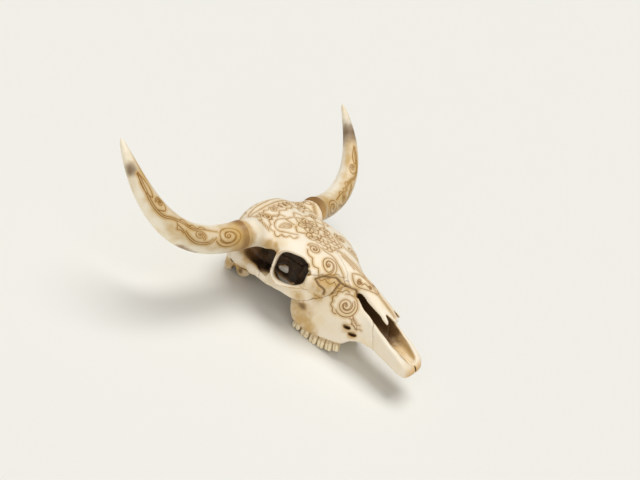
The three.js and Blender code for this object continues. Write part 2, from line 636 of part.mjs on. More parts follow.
let restTilt = 0;
let tiltStep = Math.PI / 8;
for (let halving = 0; halving < 30; halving++) {
  const kneels = lowestPoint(bones.braincase, restTilt) > lowestPoint(bones.maxilla_left, restTilt);
  restTilt += kneels ? tiltStep : -tiltStep;
  tiltStep /= 2;
}
const floorLevel = lowestPoint(bones.braincase, restTilt) + REST_FLAT;
const floor = new THREE.BoxGeometry(1000, 1400, 100).translate(0, 0, floorLevel - 50).rotateX(restTilt);
for (const name of ['braincase', 'maxilla_left', 'maxilla_right']) {
  bones[name] = largest(bones[name].subtract(solidOf(floor))).simplify(SLIVER);
}

const skullGroup = new THREE.Group();
skullGroup.rotation.x = -restTilt;
skullGroup.position.z = -floorLevel;
for (const [name, solid] of Object.entries(bones)) {
  const mesh = new THREE.Mesh(geometryOf(solid), name.startsWith('horn') ? HORN : BONE);
  mesh.name = name;
  skullGroup.add(mesh);
}

// The origin is on the floor, under the middle of the whole skull.
const object = new THREE.Group();
object.add(skullGroup);
object.updateMatrixWorld(true);
const span = new THREE.Box3().setFromObject(object, true);
skullGroup.position.y = -(span.min.y + span.max.y) / 2;

export default object;
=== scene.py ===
# %% [markdown]
# # An engraved bull's skull
# A bull's skull without its lower jaw lies on its cheek teeth and on the knobs behind its ears.
# The bone is ivory-coloured, darker in every hollow, and carved with scrollwork that is rubbed with
# brown stain. This lesson builds each bone as a closed skin, engraves it, stains it and lights it.
#
# The solids of the same skull are loaded first. They fix where everything is, so each bone made here
# takes the place of the solid with the same name.

import math

import bmesh
import bpy
import numpy as np
from mathutils import Matrix, Vector


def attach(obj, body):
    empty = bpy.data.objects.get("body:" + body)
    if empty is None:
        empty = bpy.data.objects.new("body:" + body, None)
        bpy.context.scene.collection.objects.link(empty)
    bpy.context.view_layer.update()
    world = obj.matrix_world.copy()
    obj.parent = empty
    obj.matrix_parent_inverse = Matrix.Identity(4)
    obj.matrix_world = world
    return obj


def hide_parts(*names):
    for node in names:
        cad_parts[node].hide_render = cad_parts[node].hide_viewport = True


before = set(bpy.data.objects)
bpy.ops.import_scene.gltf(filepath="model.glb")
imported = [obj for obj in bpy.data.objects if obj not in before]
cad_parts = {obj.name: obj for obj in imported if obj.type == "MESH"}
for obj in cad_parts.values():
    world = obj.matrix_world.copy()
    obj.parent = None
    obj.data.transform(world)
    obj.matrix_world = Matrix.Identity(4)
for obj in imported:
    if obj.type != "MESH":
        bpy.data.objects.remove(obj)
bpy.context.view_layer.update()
print("solids:", sorted(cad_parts))

# %% [markdown]
# ## The skull's own frame
# Anatomists measure a skull from its own planes. Here y runs back from the front of the nose, z up
# from the chewing plane and x to the animal's left, all in millimetres. At rest the skull tips back on
# its teeth, so one small turn and a shift bring every finished point into the shared frame.

# %% Turn into the shared frame
MM = 0.001
REST_TILT = math.radians(10.0793)
REST_SHIFT = np.array((0.0, -316.575, 56.096))


def turned(vectors):
    x, y, z = np.asarray(vectors, float).T
    back, up = math.cos(REST_TILT), math.sin(REST_TILT)
    return np.stack((x, back * y + up * z, back * z - up * y), axis=1)


def at_rest(points):
    return (turned(points) + REST_SHIFT) * MM


print("tip of the left horn:", at_rest([(391.8, 569.9, 354.4)]).round(3))

# %% [markdown]
# ## A bone as a field
# Sculpting would be one way to make a skull. Here the bone is a field instead: a number at every point
# of a fine grid, below zero in the bone and above zero outside it. Simple forms are joined and cut with
# rounded seams, which gives the soft transitions that bone has, and both sides come out alike.

# %% Profiles and rounded seams
FAR = 200.0


def profile(pairs):
    """A smooth curve through pairs of numbers, flat beyond both ends."""
    at, value = np.array(pairs, float).T
    before = np.maximum(np.arange(len(at)) - 1, 0)
    after = np.minimum(np.arange(len(at)) + 1, len(at) - 1)
    slope = (value[after] - value[before]) / (at[after] - at[before])

    def curve(where):
        where = np.clip(where, at[0], at[-1])
        n = np.clip(np.searchsorted(at, where), 1, len(at) - 1)
        span = at[n] - at[n - 1]
        t = (where - at[n - 1]) / span
        bend = slope[n - 1] * t * (1 - t) ** 2 - slope[n] * t * t * (1 - t)
        return value[n - 1] + (value[n] - value[n - 1]) * t * t * (3 - 2 * t) + span * bend

    return curve


def join(a, b, width):
    near = np.maximum(width - np.abs(a - b), 0) / width
    return np.minimum(a, b) - near * near * width / 4


def meet(a, b, width):
    return -join(-a, -b, width)


def cut(a, b, width):
    return meet(a, -b, width)


print("a seam 10 mm wide swells by", -join(0, 0, 10), "mm where two forms meet")

# %% Round forms
def ellipsoid(x, y, z, centre, radii):
    """Roughly the distance to an ellipsoid, below zero inside it."""
    px, py, pz = (x - centre[0]) / radii[0], (y - centre[1]) / radii[1], (z - centre[2]) / radii[2]
    share = np.sqrt(px * px + py * py + pz * pz)
    slope = np.sqrt((px / radii[0]) ** 2 + (py / radii[1]) ** 2 + (pz / radii[2]) ** 2)
    return share * (share - 1) / np.maximum(slope, 1e-6)


def bar(x, y, z, stations, squash=1.0):
    """A round bar through stations of x, y, z and radius; a squash below 1 thins it along x."""
    nearest = FAR
    for a, b in zip(stations, stations[1:]):
        bx, by, bz = (b[0] - a[0]) / squash, b[1] - a[1], b[2] - a[2]
        ax, ay, az = (x - a[0]) / squash, y - a[1], z - a[2]
        t = np.clip((ax * bx + ay * by + az * bz) / (bx * bx + by * by + bz * bz), 0, 1)
        away = np.sqrt((ax - bx * t) ** 2 + (ay - by * t) ** 2 + (az - bz * t) ** 2)
        nearest = np.minimum(nearest, away - (a[3] + (b[3] - a[3]) * t))
    return nearest


print("field in the middle of a bar 20 mm thick:", float(bar(0, 0, 0, [[0, -50, 0, 10], [0, 50, 0, 10]])))

# %% Grid that holds the field
PITCH = 2.1
X = PITCH * np.arange(-2, 88, dtype=np.float32)
Y = np.arange(-12.0, 526.0, PITCH, dtype=np.float32)
Z = np.arange(-27.0, 238.0, PITCH, dtype=np.float32)
LOW = np.array((X[0], Y[0], Z[0]))
MIDDLE = int(np.argmin(np.abs(X)))
REACH = 34.0


class Field:
    """A solid on the left half of the grid. Each form is worked out only in the block it can reach."""

    def __init__(self):
        self.values = np.full((len(X), len(Y), len(Z)), FAR, np.float32)

    def form(self, blend, width, solid, low, high):
        spans = []
        for axis, start, stop in zip((X, Y, Z), low, high):
            spans.append(slice(*np.searchsorted(axis, (start - REACH, stop + REACH))))
        x = np.abs(X[spans[0]])[:, None, None]
        y = Y[spans[1]][None, :, None]
        z = Z[spans[2]][None, None, :]
        block = tuple(spans)
        self.values[block] = blend(self.values[block], solid(x, y, z), width)

    def all_over(self, blend, width, solid):
        self.form(blend, width, solid, LOW, (X[-1], Y[-1], Z[-1]))

    def bar(self, blend, width, stations, squash=1.0):
        ends = np.array(stations, float)
        low, high = (ends[:, :3] - ends[:, 3:]).min(0), (ends[:, :3] + ends[:, 3:]).max(0)
        self.form(blend, width, lambda x, y, z: bar(x, y, z, stations, squash), low, high)

    def ellipsoid(self, blend, width, centre, radii):
        low, high = np.subtract(centre, radii), np.add(centre, radii)
        self.form(blend, width, lambda x, y, z: ellipsoid(x, y, z, centre, radii), low, high)


def litres(field):
    return round(float((field.values < 0).sum()) * (PITCH / 100) ** 3, 2)


print("grid of", len(X) * len(Y) * len(Z), "points,", PITCH, "mm apart")

# %% [markdown]
# ## Forehead and braincase
# A bull's forehead is one broad plate that ends in the crest between the horns. Behind and below it sit
# the braincase and the wide back wall of the head. The plate follows a few profiles: the height along
# its middle line, its half width and its depth.

# %% Forehead
ridge = profile([[60, 91], [87, 104], [113, 117], [145, 134], [176, 148], [202, 158], [262, 176], [349, 195],
                 [410, 203], [455, 206], [490, 198]])
ROOF_FALL = 30
ROOF_FALL_POWER = 2.3
roof_fall_width = profile([[87, 58], [112, 49], [138, 40], [167, 35], [200, 34], [228, 62], [262, 96],
                           [311, 122], [380, 114], [430, 94], [480, 89]])
roof_half = profile([[185, 30], [205, 38], [228, 60], [262, 92], [290, 106], [318, 110], [345, 106],
                     [368, 98], [395, 96], [428, 104], [462, 100], [490, 78]])
roof_depth = profile([[185, 36], [228, 44], [262, 50], [311, 48], [350, 52], [390, 66], [470, 80]])
ROOF_FRONT = 186
CREST_HEIGHT = 205
CREST_BACK, CREST_LEAN = 480, 0.2


def roof_top(x, y):
    return ridge(y) - ROOF_FALL * (x / roof_fall_width(y)) ** ROOF_FALL_POWER


def forehead(x, y, z):
    slab = meet(z - roof_top(x, y), ridge(y) - roof_depth(y) - z, 14)
    sides = meet(slab, 0.85 * (x - roof_half(y)), 30)
    back = y - (CREST_BACK + (CREST_HEIGHT - z) * CREST_LEAN)
    return meet(meet(sides, back, 26), ROOF_FRONT - y, 12)


PEDICLE = [[84, 424, 167, 29], [130, 414, 175, 30], [172, 417, 174, 30]]
BROW = [[126, 402, 172, 14], [84, 386, 160, 14]]
skull = Field()
skull.all_over(join, 1, forehead)
skull.bar(join, 24, PEDICLE)
skull.bar(join, 16, BROW)
print("forehead, one side:", litres(skull), "litres")

# %% Braincase and back wall
BRAIN = ((0, 424, 140), (66, 82, 62))
BACK_WALL = ((0, 462, 112), (88, 36, 62))
SKULL_BASE = [[0, 494, 66, 20], [0, 430, 88, 22], [0, 372, 124, 22], [0, 300, 126, 26]]
EAR_ROOT = ((74, 446, 86), (20, 30, 22))
WALL_BACK, WALL_LEAN = 472, 0.24


def back_plane(x, y, z):
    return y - (WALL_BACK + (CREST_HEIGHT - z) * WALL_LEAN) + 0 * x


brain = Field()
brain.ellipsoid(join, 1, *BRAIN)
brain.ellipsoid(join, 20, *BACK_WALL)
brain.bar(join, 18, SKULL_BASE)
brain.ellipsoid(join, 14, *EAR_ROOT)
brain.all_over(meet, 16, back_plane)
skull.values = join(skull.values, brain.values, 14)
print("with the braincase:", litres(skull), "litres")

# %% [markdown]
# ## Face and eye sockets
# The face is the block of the two upper jaws and, in front, the two slim premaxillae. It leans inwards
# towards the nose. Each eye socket is a short tube with a raised rim; the temple behind it and the space
# under the cheek bar are hollowed out afterwards, so the rim and the bars stay free.

# %% Face
face_half = profile([[0, 30], [16, 37], [31, 40], [50, 41], [78, 41], [104, 41], [129, 44], [150, 52],
                     [165, 58], [200, 64], [236, 70], [262, 75], [290, 76], [310, 66]])
face_top = profile([[0, 20], [10, 29], [26, 41], [39, 48], [50, 54], [67, 61], [86, 71], [98, 78], [127, 94],
                    [150, 105], [167, 115], [185, 128], [200, 139], [240, 152], [310, 150]])
face_bottom = profile([[0, 13], [16, 10], [31, 11], [50, 17], [78, 25], [104, 31], [129, 32], [150, 27],
                       [166, 14], [189, 9], [236, 4], [262, 8], [276, 12], [288, 21], [310, 58]])
face_lean = profile([[0, 0], [110, 2], [129, 6], [150, 16], [167, 23], [200, 28], [232, 20], [262, 4],
                     [310, 0]])
LEAN_START = 60
LEAN_POWER = 1.5
FACE_FRONT, FRONT_BOW = 5, 0.004
FACE_BACK = 308
NOSE_ROOT = ((0, 292, 118), (44, 62, 52))
TEAR_BONE_SWELL = [[52, 236, 114, 22], [80, 262, 126, 21]]
CHEEK_RIDGE = [[76, 268, 92, 14], [64, 246, 58, 11]]
PALATE_WALL = [[20, 343, 120, 19], [18, 336, 84, 17], [16, 322, 56, 14]]
BRAIN_FLOOR = [[34, 398, 102, 18], [38, 440, 98, 20]]
CHEEK_HOLLOW = ((105, 255, 70), (28, 32, 18))
TEAR_HOLLOW = ((92, 233, 142), (18, 22, 16))


def face(x, y, z):
    top = face_top(y)
    rise = np.clip((z - LEAN_START) / np.maximum(top - LEAN_START, 20), 0, 1.15)
    half = face_half(y) - face_lean(y) * rise**LEAN_POWER
    walls = meet(x - half, z - top, 8)
    closed = meet(walls, face_bottom(y) - z, 9)
    front = FACE_FRONT + FRONT_BOW * x * x - y
    return meet(meet(closed, front, 10), y - FACE_BACK, 14)


skull.all_over(join, 10, face)
skull.ellipsoid(join, 14, *NOSE_ROOT)
skull.bar(join, 18, TEAR_BONE_SWELL)
skull.bar(join, 18, CHEEK_RIDGE)
skull.bar(join, 12, PALATE_WALL)
skull.bar(join, 12, BRAIN_FLOOR)
skull.ellipsoid(cut, 20, *CHEEK_HOLLOW)
skull.ellipsoid(cut, 12, *TEAR_HOLLOW)
print("with the face:", litres(skull), "litres")

# %% Eye sockets and hollows
ORBIT_CENTRE = (97, 310, 130)
ORBIT_FACING = np.array((0.94, -0.24, 0.24)) / np.linalg.norm((0.94, -0.24, 0.24))
ORBIT_UP = np.cross(np.cross(ORBIT_FACING, (0, 0, 1)), ORBIT_FACING)
ORBIT_UP = ORBIT_UP / np.linalg.norm(ORBIT_UP)
ORBIT_POWER = 3.0
ORBIT_RADIUS = 37
ORBIT_EDGE = 1.4
ORBIT_WALL = 10.5
ORBIT_SPREAD = 0.3
ORBIT_LIP = 2
ORBIT_BAR_RADIUS = 2.7
ORBIT_TUBE = 52
ORBIT_DEPTH = 46
ORBIT_FLARE = 0.12
ORBIT_LOW, ORBIT_HIGH = (30, 240, 70), (130, 370, 190)
SOCKET_WINDOW = [[68, 330, 126, 29], [64, 356, 118, 25]]
TEMPLE = ((106, 401, 112), (40, 50, 30))
UNDER_SOCKET = [[66, 328, 82, 21], [66, 384, 84, 20]]
PALATE = ((0, 226, -12), (45, 112, 40))
THROAT = [[0, 300, 48, 20], [0, 346, 76, 15]]
BEHIND_RIM = [[86, 371, 130, 17.5], [88, 371, 112, 17.5]]


def orbit_place(x, y, z):
    """Distance out along the socket's axis, and away from that axis in a slightly square sense."""
    px, py, pz = x - ORBIT_CENTRE[0], y - ORBIT_CENTRE[1], z - ORBIT_CENTRE[2]
    out = px * ORBIT_FACING[0] + py * ORBIT_FACING[1] + pz * ORBIT_FACING[2]
    rise = px * ORBIT_UP[0] + py * ORBIT_UP[1] + pz * ORBIT_UP[2]
    across = np.sqrt(np.maximum(px * px + py * py + pz * pz - out * out - rise * rise, 0))
    return out, (across**ORBIT_POWER + np.abs(rise) ** ORBIT_POWER) ** (1 / ORBIT_POWER)


def orbit_tube(x, y, z):
    out, away = orbit_place(x, y, z)
    wall = np.minimum(ORBIT_EDGE + ORBIT_SPREAD * (ORBIT_LIP - out), ORBIT_WALL)
    return meet(meet(away - ORBIT_RADIUS - wall, out - ORBIT_LIP, 6), -ORBIT_TUBE - out, 10)


def orbit_hollow(x, y, z):
    out, away = orbit_place(x, y, z)
    return meet(away - (ORBIT_RADIUS + ORBIT_FLARE * out), -ORBIT_DEPTH - out, 24)


def orbit_rim(x, y, z):
    out, away = orbit_place(x, y, z)
    return np.hypot(away - ORBIT_RADIUS - 2, 0.6 * out) - ORBIT_BAR_RADIUS


skull.form(join, 10, orbit_tube, ORBIT_LOW, ORBIT_HIGH)
skull.form(cut, 5, orbit_hollow, ORBIT_LOW, ORBIT_HIGH)
skull.bar(cut, 6, SOCKET_WINDOW)
skull.ellipsoid(cut, 10, *TEMPLE)
skull.bar(cut, 8, UNDER_SOCKET)
skull.ellipsoid(cut, 10, *PALATE)
skull.bar(cut, 8, THROAT)
skull.bar(cut, 5, BEHIND_RIM)
skull.form(join, 4, orbit_rim, ORBIT_LOW, ORBIT_HIGH)
print("eye socket opening:", 2 * ORBIT_RADIUS, "mm")

# %% Cheek bar, jaw hinge and the knobs under the ears
ARCH = [[84, 272, 92, 15], [93, 294, 83, 12], [99, 320, 81, 9], [99, 350, 80, 7.5], [95, 382, 81, 8],
        [88, 406, 82, 11], [78, 440, 86, 15]]
LOWER_RIM = [[98, 352, 94, 4], [103, 336, 90, 6], [105, 312, 88, 7], [102, 290, 92, 8], [96, 272, 102, 8]]
UNDER_RIM = [[114, 340, 72, 12], [117, 306, 78, 17], [112, 267, 87, 21], [98, 244, 96, 12]]
JAW_SHOULDER = [[74, 274, 70, 11], [68, 250, 68, 9]]
PTERYGOID = [[33, 298, 60, 9], [28, 342, 72, 6], [26, 376, 72, 6], [20, 410, 84, 9]]
JAW_HINGE = [[86, 404, 81, 11.5], [44, 420, 84, 13]]
PARACONDYLE = [[66, 474, 80, 16], [56, 485, 39, 10.5]]
BASE_KNOB = ((11, 420, 66), (15, 24, 18))
EAR_KNOB = ((52, 448, 47), (14, 19, 18))
JAW_SEAT = ((44, 412, 64), (15, 26, 14))
NECK_KNOB = ((27, 496, 58), (18, 16, 20))
SPINE_HOLE = ((0, 512, 76), (18, 30, 16))
skull.bar(join, 14, ARCH, 0.66)
skull.bar(join, 12, LOWER_RIM)
skull.bar(cut, 8, UNDER_RIM)
skull.bar(join, 16, JAW_SHOULDER)
skull.bar(join, 8, PTERYGOID)
skull.bar(join, 8, JAW_HINGE)
skull.bar(join, 12, PARACONDYLE)
for knob in (BASE_KNOB, EAR_KNOB, JAW_SEAT):
    skull.ellipsoid(join, 10, *knob)
skull.ellipsoid(join, 8, *NECK_KNOB)
skull.ellipsoid(cut, 6, *SPINE_HOLE)
print("cheek bar runs", ARCH[-1][1] - ARCH[0][1], "mm back from the jaw")

# %% [markdown]
# ## Nose
# The nose is one long hollow under two thin nasal bones. The hollow is cleared first and then roofed by
# a plate that follows the roof's height and has the same thickness where the roof falls to the side.

# %% Nose
cavity_half = profile([[-20, 6], [8, 10], [20, 17], [30, 22], [60, 28], [98, 30], [127, 31], [167, 29],
                       [205, 24]])
cavity_floor = profile([[-20, 60], [10, 36], [30, 28], [60, 34], [100, 41], [150, 46], [210, 54]])
CAVITY_END = 216
nasal_half = profile([[85, 29], [112, 27.5], [134, 26.5], [150, 25.5], [167, 24.5], [182, 27], [200, 34]])
NASAL_THICK = 6.5
nasal_front = profile([[0, 86], [5, 83], [10, 92], [16, 107], [21, 99], [26, 91], [34, 96]])
NASAL_BACK = 262
MIDLINE_BAR = [[0, 22, 24, 6], [0, 100, 44, 6], [0, 205, 60, 7]]
PALATE_SLIT = [[19, 40, 13, 9], [20, 98, 23, 11]]
CLEFT_HALF = 1.8
CLEFT_END = 24


def roof_slant(x, y):
    width = roof_fall_width(y)
    return np.hypot(1, ROOF_FALL * ROOF_FALL_POWER * (x / width) ** (ROOF_FALL_POWER - 1) / width)


def nose_cavity(x, y, z):
    ceiling = roof_top(x, y) - (NASAL_THICK - 0.5) * roof_slant(x, y)
    tube = meet(x - cavity_half(y), cavity_floor(y) - z, 14)
    return meet(meet(tube, z - ceiling, 4), y - CAVITY_END, 20)


def nasal_plate(x, y, z):
    depth = (roof_top(x, y) - z) / roof_slant(x, y)
    plate = np.abs(depth - NASAL_THICK / 2) - NASAL_THICK / 2
    sides = meet(plate, x - nasal_half(y), 4)
    return meet(meet(sides, nasal_front(x) - y, 4), y - NASAL_BACK, 4)


def nose_cleft(x, y, z):
    wider = 0.06 * np.maximum(12 - y, 0)
    return meet(x - CLEFT_HALF - wider, y - CLEFT_END, 6) + 0 * z


skull.all_over(cut, 6, nose_cavity)
skull.bar(cut, 4, PALATE_SLIT)
skull.form(cut, 4, nose_cleft, (0, -10, -10), (8, 30, 80))
skull.all_over(join, 3, nasal_plate)
skull.bar(join, 5, MIDLINE_BAR, 0.8)
print("nasal bones are", NASAL_THICK, "mm thick")

# %% [markdown]
# ## Small holes and roughness
# Nerves and vessels leave a skull through small holes: two open on the cheek above the first tooth, and
# the ear has a deep one. The front edge of the eye socket has two notches. Dry bone is never quite even,
# so a faint wave goes into the field as well.

# %% Holes and waves
CHEEK_HOLES = (((60, 164, 58), (14, 10, 5)), ((53, 149, 46), (12, 10, 5)))
EAR_HOLE = [[92, 470, 62, 8], [52, 458, 70, 6]]
RIM_NOTCHES = ([[98, 268, 161, 4.5], [82, 288, 152, 4.5]], [[103, 259, 149, 5.5], [86, 282, 141, 5.5]])
WAVE_HEIGHT = 0.5


def faint_wave(values, wave, width):
    return values + width * wave


def dry_unevenness(x, y, z):
    bent = np.sin(0.11 * x + 1.7 * np.sin(0.05 * y))
    return bent * np.sin(0.09 * y + 0.06 * z) * np.sin(0.1 * z + 0.04 * x)


for hole in CHEEK_HOLES:
    skull.ellipsoid(cut, 4, *hole)
skull.bar(cut, 3, EAR_HOLE)
for notch in RIM_NOTCHES:
    skull.bar(cut, 2, notch)
skull.all_over(faint_wave, WAVE_HEIGHT, dry_unevenness)
print("lowest and highest field value:", float(skull.values.min()), float(skull.values.max()))

# %% [markdown]
# ## From field to skin
# A skin is drawn where the field passes through zero. Each grid cell that the surface crosses gets one
# vertex, at the mean of its crossings, and each grid edge that crosses becomes one face of four corners.
# This gives even quads, which take engraving and smooth shading well.

# %% Skin round a field
def skin(values, low):
    inside = values < 0
    rings, crossings = [], []
    for axis in range(3):
        first, second = [slice(None)] * 3, [slice(None)] * 3
        first[axis], second[axis] = slice(None, -1), slice(1, None)
        edge = np.argwhere(inside[tuple(first)] != inside[tuple(second)])
        start = values[tuple(first)][tuple(edge.T)]
        end = values[tuple(second)][tuple(edge.T)]
        point = edge.astype(float)
        point[:, axis] += start / (start - end)
        around = []
        for step_u, step_v in ((0, 0), (-1, 0), (-1, -1), (0, -1)):
            cell = edge.copy()
            cell[:, (axis + 1) % 3] += step_u
            cell[:, (axis + 2) % 3] += step_v
            around.append(np.ravel_multi_index(cell.T, values.shape))
        ring = np.stack(around, axis=1)
        ring[start >= 0] = ring[start >= 0][:, ::-1]
        rings.append(ring)
        crossings.append(np.repeat(point, 4, axis=0))
    cells, corner = np.unique(np.concatenate(rings).ravel(), return_inverse=True)
    crossings = np.concatenate(crossings)
    count = np.bincount(corner)
    middle = [np.bincount(corner, crossings[:, n]) / count for n in range(3)]
    return low + PITCH * np.stack(middle, axis=1), corner.reshape(-1, 4)


def whole(left, right):
    """One field out of two halves, each held as a left half."""
    return np.concatenate((right[:MIDDLE:-1], left[MIDDLE:]))


cells = np.meshgrid(*[np.arange(-12.0, 13.0)] * 3, indexing="ij")
ball = ellipsoid(*cells, (0, 0, 0), (8, 8, 8))
print("a ball 16 cells wide gets", len(skin(ball, np.zeros(3))[1]), "faces")

# %% Reading the field anywhere
def field_at(points):
    """The skull's field between grid points, on either side."""
    place = (np.abs(points * (1, 0, 0)) + points * (0, 1, 1) - LOW) / PITCH
    place = np.clip(place, 0, np.array(skull.values.shape) - 1.001)
    cell = place.astype(int)
    part = place - cell
    total = 0.0
    for dx in (0, 1):
        for dy in (0, 1):
            for dz in (0, 1):
                corner = skull.values[cell[:, 0] + dx, cell[:, 1] + dy, cell[:, 2] + dz]
                share = np.abs(np.array((1 - dx, 1 - dy, 1 - dz)) - part).prod(axis=1)
                total = total + corner * share
    return total


def outward(points):
    """The direction that leads straight out of the bone."""
    steps = np.eye(3) * PITCH
    slope = np.stack([field_at(points + step) - field_at(points - step) for step in steps], axis=1)
    return slope / np.maximum(np.linalg.norm(slope, axis=1, keepdims=True), 1e-6)


print("way out of the forehead:", outward(np.array([(0.0, 351.0, 195.0)])).round(2))

# %% [markdown]
# ## Sutures
# A young skull is many bones that meet along wavy seams, the sutures. Each bone is the part of the skull
# inside its own outline, drawn from the side or from above. The outlines are bent by small waves, and a
# narrow gap is left between neighbours, so that the seams show as they do on the real thing.

# %% Outlines of the bones
SUTURE_GAP = 0.3
SUTURE_WAVE, SUTURE_RIPPLE = 1.1, 0.6
PREMAXILLA = [[-20, -5], [90, -5], [95, 30], [126, 103], [129, 108], [108, 97], [80, 89], [-20, 89]]
NASAL_SIDE = [[55, 74], [87, 84], [112, 93], [138, 104], [167, 117], [200, 124], [225, 138], [262, 158],
              [280, 166], [280, 240], [55, 240]]
NASAL_PLAN = [[-5, 60], [33, 60], [33, 196], [23, 226], [11, 256], [0, 272], [-5, 272]]
MAXILLA = [[60, -40], [330, -40], [330, 48], [302, 62], [264, 78], [238, 94], [214, 116], [200, 137],
           [200, 175], [60, 175]]
ZYGOMATIC = [[238, 94], [264, 78], [302, 62], [330, 50], [374, 50], [382, 94], [366, 100], [366, 121],
             [320, 121], [292, 113], [262, 108]]
LACRIMAL = [[200, 137], [214, 116], [238, 94], [262, 108], [292, 113], [292, 142], [262, 142], [226, 149]]
FRONTAL = [[170, 137], [200, 137], [226, 149], [262, 142], [292, 142], [320, 121], [366, 121], [374, 132],
           [428, 128], [452, 143], [560, 150], [560, 270], [170, 270]]
INNER_CHEEK = 56
INNER_LACRIMAL = 38


def inside_outline(outline, u, v):
    """Distance to a closed outline, below zero inside it."""
    wavy_u = u + SUTURE_WAVE * np.sin(0.62 * v) + SUTURE_RIPPLE * np.sin(1.31 * v + 0.8)
    wavy_v = v + SUTURE_WAVE * np.sin(0.57 * u + 0.4) + SUTURE_RIPPLE * np.sin(1.23 * u)
    nearest = np.full(np.broadcast(u, v).shape, FAR)
    inside = np.zeros(nearest.shape, bool)
    points = np.array(outline, float)
    for (au, av), (bu, bv) in zip(points, np.roll(points, -1, axis=0)):
        du, dv = bu - au, bv - av
        t = np.clip(((wavy_u - au) * du + (wavy_v - av) * dv) / (du * du + dv * dv), 0, 1)
        nearest = np.minimum(nearest, np.hypot(wavy_u - au - t * du, wavy_v - av - t * dv))
        if dv:
            inside ^= ((av > wavy_v) != (bv > wavy_v)) & (wavy_u < au + du * (wavy_v - av) / dv)
    return np.where(inside, -nearest, nearest)


def from_side(outline):
    return inside_outline(outline, Y[:, None], Z[None, :])[None, :, :].astype(np.float32)


def from_above(outline):
    return inside_outline(outline, X[:, None], Y[None, :])[:, :, None].astype(np.float32)


depth = -inside_outline(FRONTAL, np.array(400.0), np.array(180.0))
print("the brow lies", round(float(depth), 1), "mm inside the outline of the frontal bone")

# %% [markdown]
# ## Where the horns begin
# A horn is a sheath on a bony core that grows out of the frontal bone. One smooth curve with four control
# points gives both horns their middle line. The right sheath starts further along the curve than the left
# one, so more of its core is bare. The bone is cut back to where each sheath begins.

# %% Horn curve
HORN_CURVE = np.array(((139, 413.5, 177), (283, 438, 157), (389.5, 449.6, 209.8), (391.8, 569.9, 354.4)))
HORN_START = {"left": -0.07, "right": 0.042}
HORN_SEAT = 60


def from_start(start):
    """The part of the horn's curve from a start to the tip, as four points of its own."""
    level, kept = HORN_CURVE, [HORN_CURVE[-1]]
    while len(level) > 1:
        level = level[:-1] + (level[1:] - level[:-1]) * start
        kept.insert(0, level[-1])
    return np.array(kept)


def horn_middle(points, t):
    t = np.asarray(t, float)[:, None]
    a, b, c, d = points
    return (1 - t) ** 3 * a + 3 * t * (1 - t) ** 2 * b + 3 * t * t * (1 - t) * c + t**3 * d


def horn_along(points, t):
    t = np.asarray(t, float)[:, None]
    a, b, c, d = points
    slope = (1 - t) ** 2 * (b - a) + 2 * t * (1 - t) * (c - b) + t * t * (d - c)
    return slope / np.linalg.norm(slope, axis=1, keepdims=True)


def before_horn(x, y, z, points):
    """Above zero where a horn takes the bone's place: beyond its root and near its axis."""
    root, along = points[0], horn_along(points, [0.0])[0]
    px, py, pz = x - root[0], y - root[1], z - root[2]
    past = px * along[0] + py * along[1] + pz * along[2]
    away = np.sqrt(np.maximum(px * px + py * py + pz * pz - past * past, 0))
    return np.minimum(past + SUTURE_GAP, HORN_SEAT - away)


horn_points = {name: from_start(start) for name, start in HORN_START.items()}
print("horn roots:", [points[0].round(1).tolist() for points in horn_points.values()])

# %% Part the skull into bones
x_grid, y_grid, z_grid = np.abs(X)[:, None, None], Y[None, :, None], Z[None, None, :]
seat = {}
for name, points in horn_points.items():
    seat[name] = before_horn(x_grid, y_grid, z_grid, points).astype(np.float32)
outlines = {
    "premaxilla": from_side(PREMAXILLA),
    "nasal": np.maximum(from_side(NASAL_SIDE), from_above(NASAL_PLAN)),
    "maxilla": from_side(MAXILLA),
    "zygomatic": np.maximum(from_side(ZYGOMATIC), INNER_CHEEK - x_grid),
    "lacrimal": np.maximum(from_side(LACRIMAL), INNER_LACRIMAL - x_grid),
    "frontal": from_side(FRONTAL),
}
bone_skins = {}
rest = skull.values
for name, outline in outlines.items():
    values = np.maximum(rest, outline)
    rest = np.maximum(rest, SUTURE_GAP - outline)
    if name == "frontal":
        both = whole(np.maximum(values, seat["left"]), np.maximum(values, seat["right"]))
        bone_skins[name] = skin(both, np.array((-X[-1], Y[0], Z[0])))
        continue
    points, faces = skin(np.maximum(values, SUTURE_GAP / 2 - X[:, None, None]), LOW)
    bone_skins[name + "_left"] = (points, faces)
    bone_skins[name + "_right"] = (points * (-1, 1, 1), faces[:, ::-1])
bone_skins["braincase"] = skin(whole(rest, rest), np.array((-X[-1], Y[0], Z[0])))
for name, (points, faces) in bone_skins.items():
    print(name, len(faces), "faces")

# %% [markdown]
# ## Drawing the scrollwork
# The carving is scrollwork: spirals, a rosette on the forehead, petals, lobed leaves and wavy stems.
# Each motif is a short rule that gives points on a flat sheet. The sheet is then laid against the bone
# and every point moves straight down until it meets the surface, as a stencil would be traced.

# %% Motifs on a flat sheet
def spiral(centre, radius, turns, start, hand=1):
    t = np.linspace(0.06, 1, int(60 * turns))
    angle = start + hand * 2 * math.pi * turns * (1 - t)
    return np.stack((centre[0] + radius * t * np.cos(angle), centre[1] + radius * t * np.sin(angle)), axis=1)


def ring(centre, radius, start=0.0, sweep=360.0):
    angle = np.radians(np.linspace(start, start + sweep, int(abs(sweep) / 4) + 2))
    return np.stack((centre[0] + radius * np.cos(angle), centre[1] + radius * np.sin(angle)), axis=1)


def petal(centre, heading, near, far, half_width):
    t = np.linspace(0, 1, 24)
    bulge = half_width * np.sin(math.pi * t**0.75)
    reach = near + (far - near) * t
    along = np.concatenate((reach, reach[::-1]))
    across = np.concatenate((bulge, -bulge[::-1]))
    c, s = math.cos(math.radians(heading)), math.sin(math.radians(heading))
    return np.stack((centre[0] + along * c - across * s, centre[1] + along * s + across * c), axis=1)


